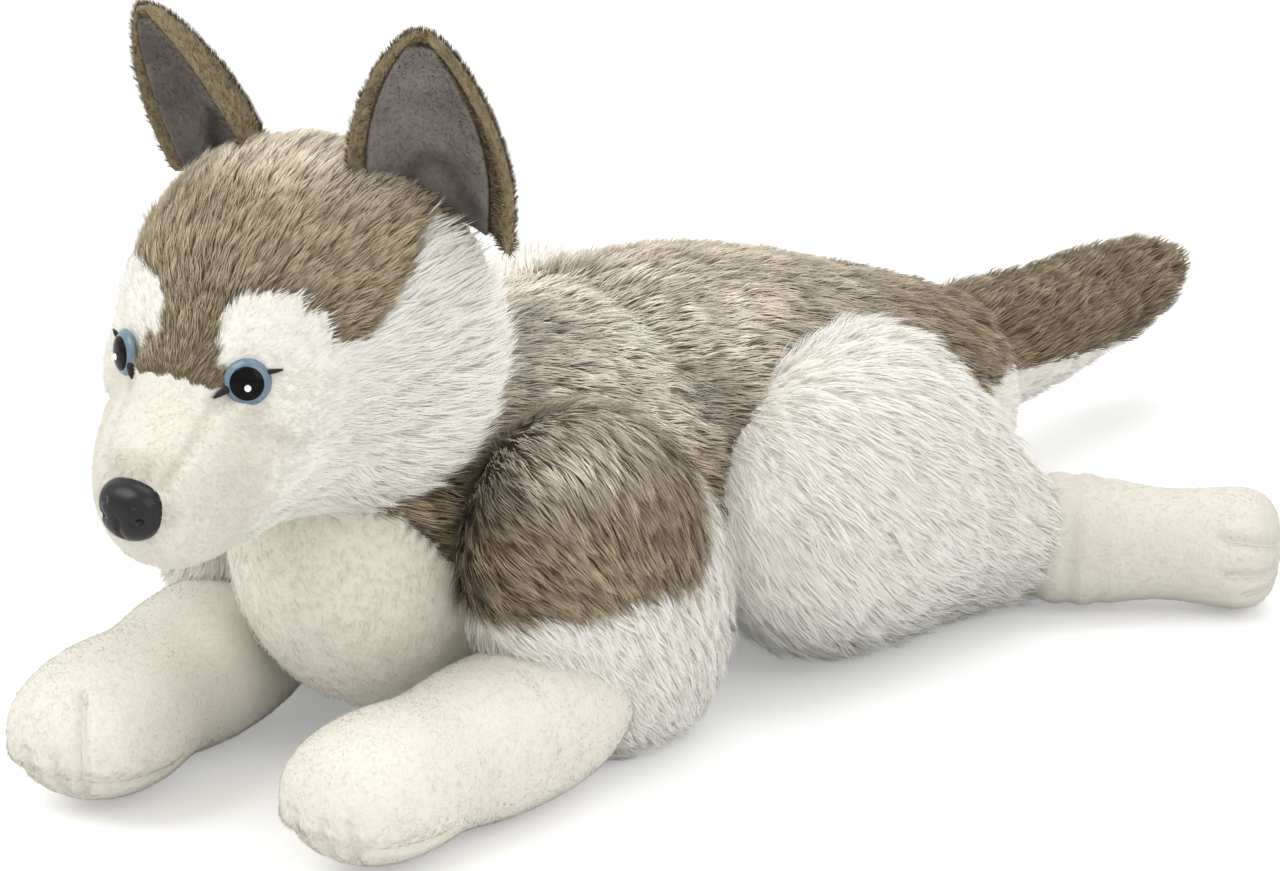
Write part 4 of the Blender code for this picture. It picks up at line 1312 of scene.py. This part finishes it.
def shoulderLight(places):
    return (0.85 * ramp(places[:, 2], 0.100, 0.128)).reshape(-1, 1)


piles["shoulder"].update(shade=shoulderShade, light=shoulderLight)


def bellyTone(places):
    return np.where(inSaddle(places)[:, None], brown["root"], white["middle"] * chestCreamAndShade(places))


around = others("head", "shoulder1", "shoulder-1", "thigh1", "thigh-1", "foreleg1", "foreleg-1")
saddleFaces = inSaddle(torso.corners.mean(axis=1))
clothPiece("back_cloth", torso, saddleFaces, brownWhere(inSaddle), "grey_brown_pile",
           ["back_panel", "body_filling"], around)
clothPiece("belly_cloth", torso, ~saddleFaces, bellyTone, "white_long_pile", ["belly_panel"], around)
growPile("back_pile", torso, piles["saddle"], 21, inSaddle, "grey_brown_pile", around)
growPile("belly_pile", torso, piles["belly"], 22, lambda p: ~inSaddle(p) & (p[:, 2] > 0.003), "white_long_pile",
         around)


def inTailTop(places):
    s = tailShape
    end = s["start"] + s["length"] * s["underEnd"]
    ends = s["height"] + s["tall"] * s["underHigh"], s["height"] - s["tall"] * s["underLow"]
    line = np.interp(places[:, 1], (s["start"] - 0.03, end), ends)
    return (places[:, 2] > line + 0.001 * np.sin(places[:, 1] * 500.0)) | (places[:, 1] > end)


tailTop = inTailTop(tail.corners.mean(axis=1))
tailTone = brownWhere(inTailTop)
around = others("torso", "thigh1", "thigh-1")
clothPiece("tail_top_cloth", tail, tailTop, tailTone, "grey_brown_pile", ["tail_top", "tail_filling"], around)
clothPiece("tail_under_cloth", tail, ~tailTop, tailTone, "white_long_pile", ["tail_underside"], around)
tailPile = dict(piles["saddle"], **tailBrown, flow=steady(0.0, 1.0, 0.15), length=0.0115)
tailPile.pop("shade")
tailPile.pop("light")
growPile("tail_top_pile", tail, tailPile, 51, inTailTop, "grey_brown_pile", around)
underPile = dict(piles["belly"], flow=steady(0.0, 1.0, 0.15), length=0.007, share=allOver, shade=thighShade)
growPile("tail_under_pile", tail, underPile, 52, lambda p: ~inTailTop(p), "white_long_pile", around)

for side, word in sides:
    shoulder, foreleg, thigh, hind = limbs[side]
    print("limbs", word)
    upper = shoulder.corners.mean(axis=1)[:, 2] > shoulderShape["edge"]
    around = others("torso", "head", f"foreleg{side}")
    shoulderTone = brownWhere(inShoulder)
    clothPiece(f"shoulder_cloth_{word}", shoulder, upper, shoulderTone, "grey_brown_pile",
               [f"shoulder_panel_{word}", f"shoulder_filling_{word}"], around)
    clothPiece(f"upper_leg_cloth_{word}", shoulder, ~upper, shoulderTone, "white_long_pile",
               [f"upper_foreleg_{word}"], around)
    growPile(f"shoulder_pile_{word}", shoulder, piles["shoulder"], 61 + side, inShoulder, "grey_brown_pile", around)
    growPile(f"upper_leg_pile_{word}", shoulder, piles["upper_leg"], 71 + side,
             lambda p: ~inShoulder(p) & (p[:, 2] > 0.003), "white_long_pile", around)
    for label, skin, beside, seed, tones, slot, nodes, fill, floor in (
        ("forepaw", foreleg, "shoulder", 81, cream, "white_short_pile", ("forepaw", "foreleg_filling"), 0.9, 0.002),
        ("thigh", thigh, "hind", 91, white, "white_long_pile", ("thigh_panel", "thigh_filling"), 0.8, 0.003),
        ("hind_paw", hind, "thigh", 101, shadedHindCream, "white_short_pile", ("hind_paw", "hind_filling"), 0.9, 0.002),
    ):
        around = others("torso", f"{beside}{side}")
        clothPiece(f"{label}_cloth_{word}", skin, None, plainTone(tones["middle"]), slot,
                   [f"{node}_{word}" for node in nodes], around)
        growPile(f"{label}_pile_{word}", skin, piles[label], seed + side, lambda p: p[:, 2] > floor, slot, around)
    for label, lines in zip(("fore", "hind"), toeLines[side]):
        for number, line in enumerate(lines, 1):
            threadPiece(f"{label}_toe_stitch_{number}_{word}", line, [toes["stitch"]] * len(line), stitchTone,
                        "white_short_pile")

for label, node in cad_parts.items():
    if "washer" in label:
        node.data.materials.clear()
        node.data.materials.append(finishes["washer_plastic"])


# Stage, light and camera

def makeStage():
    mesh = bpy.data.meshes.new("floor")
    reach = 12.0
    corners = [(-reach, -reach, 0.0), (reach, -reach, 0.0), (reach, reach, 0.0), (-reach, reach, 0.0)]
    mesh.from_pydata(corners, [], [(0, 1, 2, 3)])
    floor = bpy.data.objects.new("floor", mesh)
    bpy.context.scene.collection.objects.link(floor)
    made, shader = newMaterial("pale floor", 0.9, 0.1)
    shader.inputs["Base Color"].default_value = (0.82, 0.82, 0.82, 1.0)
    tree, link = made.node_tree, made.node_tree.links.new
    glow, both, path = (addNode(tree, kind) for kind in ("Emission", "AddShader", "LightPath"))
    seen = addNode(tree, "Math", {1: 0.30}, operation="MULTIPLY")
    link(path.outputs["Is Camera Ray"], seen.inputs[0])
    link(seen.outputs[0], glow.inputs["Strength"])
    link(shader.outputs[0], both.inputs[0])
    link(glow.outputs[0], both.inputs[1])
    link(both.outputs[0], tree.nodes["Material Output"].inputs["Surface"])
    mesh.materials.append(made)
    floor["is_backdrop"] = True


def makeWorld():
    world = bpy.data.worlds.new("studio")
    bpy.context.scene.world = world
    world.use_nodes = True
    tree, link = world.node_tree, world.node_tree.links.new
    ambient = tree.nodes["Background"]
    ambient.inputs["Color"].default_value = (1.0, 0.995, 0.975, 1.0)
    ambient.inputs["Strength"].default_value = 0.80
    backdrop = addNode(tree, "Background", {"Color": (1.0, 1.0, 1.0, 1.0), "Strength": 1.0})
    mix, path = addNode(tree, "MixShader"), addNode(tree, "LightPath")
    glossy, through = (addNode(tree, "Math", operation="MAXIMUM") for _ in range(2))
    link(path.outputs["Is Camera Ray"], glossy.inputs[0])
    link(path.outputs["Is Glossy Ray"], glossy.inputs[1])
    link(glossy.outputs[0], through.inputs[0])
    link(path.outputs["Is Transmission Ray"], through.inputs[1])
    link(through.outputs[0], mix.inputs["Fac"])
    link(ambient.outputs[0], mix.inputs[1])
    link(backdrop.outputs[0], mix.inputs[2])
    link(mix.outputs[0], tree.nodes["World Output"].inputs["Surface"])


lamps = (
    ("key", (-0.60, -1.05, 1.30), 0.9, 11.0),
    ("fill", (1.30, -0.70, 0.80), 1.2, 6.0),
    ("top", (0.10, 0.50, 1.60), 1.2, 10.0),
)


def makeLamps():
    for label, place, size, power in lamps:
        light = bpy.data.lights.new(label, "AREA")
        light.size = size
        light.energy = power
        lamp = bpy.data.objects.new(label, light)
        lamp.location = place
        lamp.rotation_mode = "QUATERNION"
        lamp.rotation_quaternion = (Vector((0.0, 0.0, 0.08)) - Vector(place)).to_track_quat("-Z", "Y")
        bpy.context.scene.collection.objects.link(lamp)


shot = dict(
    azimuth=36.0, elevation=19.0, lookAt=(0.0, 0.022, 0.072), distance=5.0, pixelsPerMetre=2900.0, imageWidth=1280,
)


def makeCamera():
    a, e = math.radians(shot["azimuth"]), math.radians(shot["elevation"])
    back = Vector((math.sin(a) * math.cos(e), -math.cos(a) * math.cos(e), math.sin(e)))
    lens = bpy.data.cameras.new("camera")
    lens.sensor_width = 36.0
    lens.lens = lens.sensor_width * shot["pixelsPerMetre"] * shot["distance"] / shot["imageWidth"]
    lens.clip_start = 0.1
    lens.clip_end = 50.0
    camera = bpy.data.objects.new("camera", lens)
    camera.location = Vector(shot["lookAt"]) + back * shot["distance"]
    camera.rotation_mode = "QUATERNION"
    camera.rotation_quaternion = (-back).to_track_quat("-Z", "Y")
    bpy.context.scene.collection.objects.link(camera)
    bpy.context.scene.camera = camera


makeStage()
makeWorld()
makeLamps()
makeCamera()
bpy.context.scene.view_settings.view_transform = "Standard"

triangles = sum(len(o.data.polygons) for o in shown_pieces() if o.type == "MESH")
print("triangles in all:", triangles)
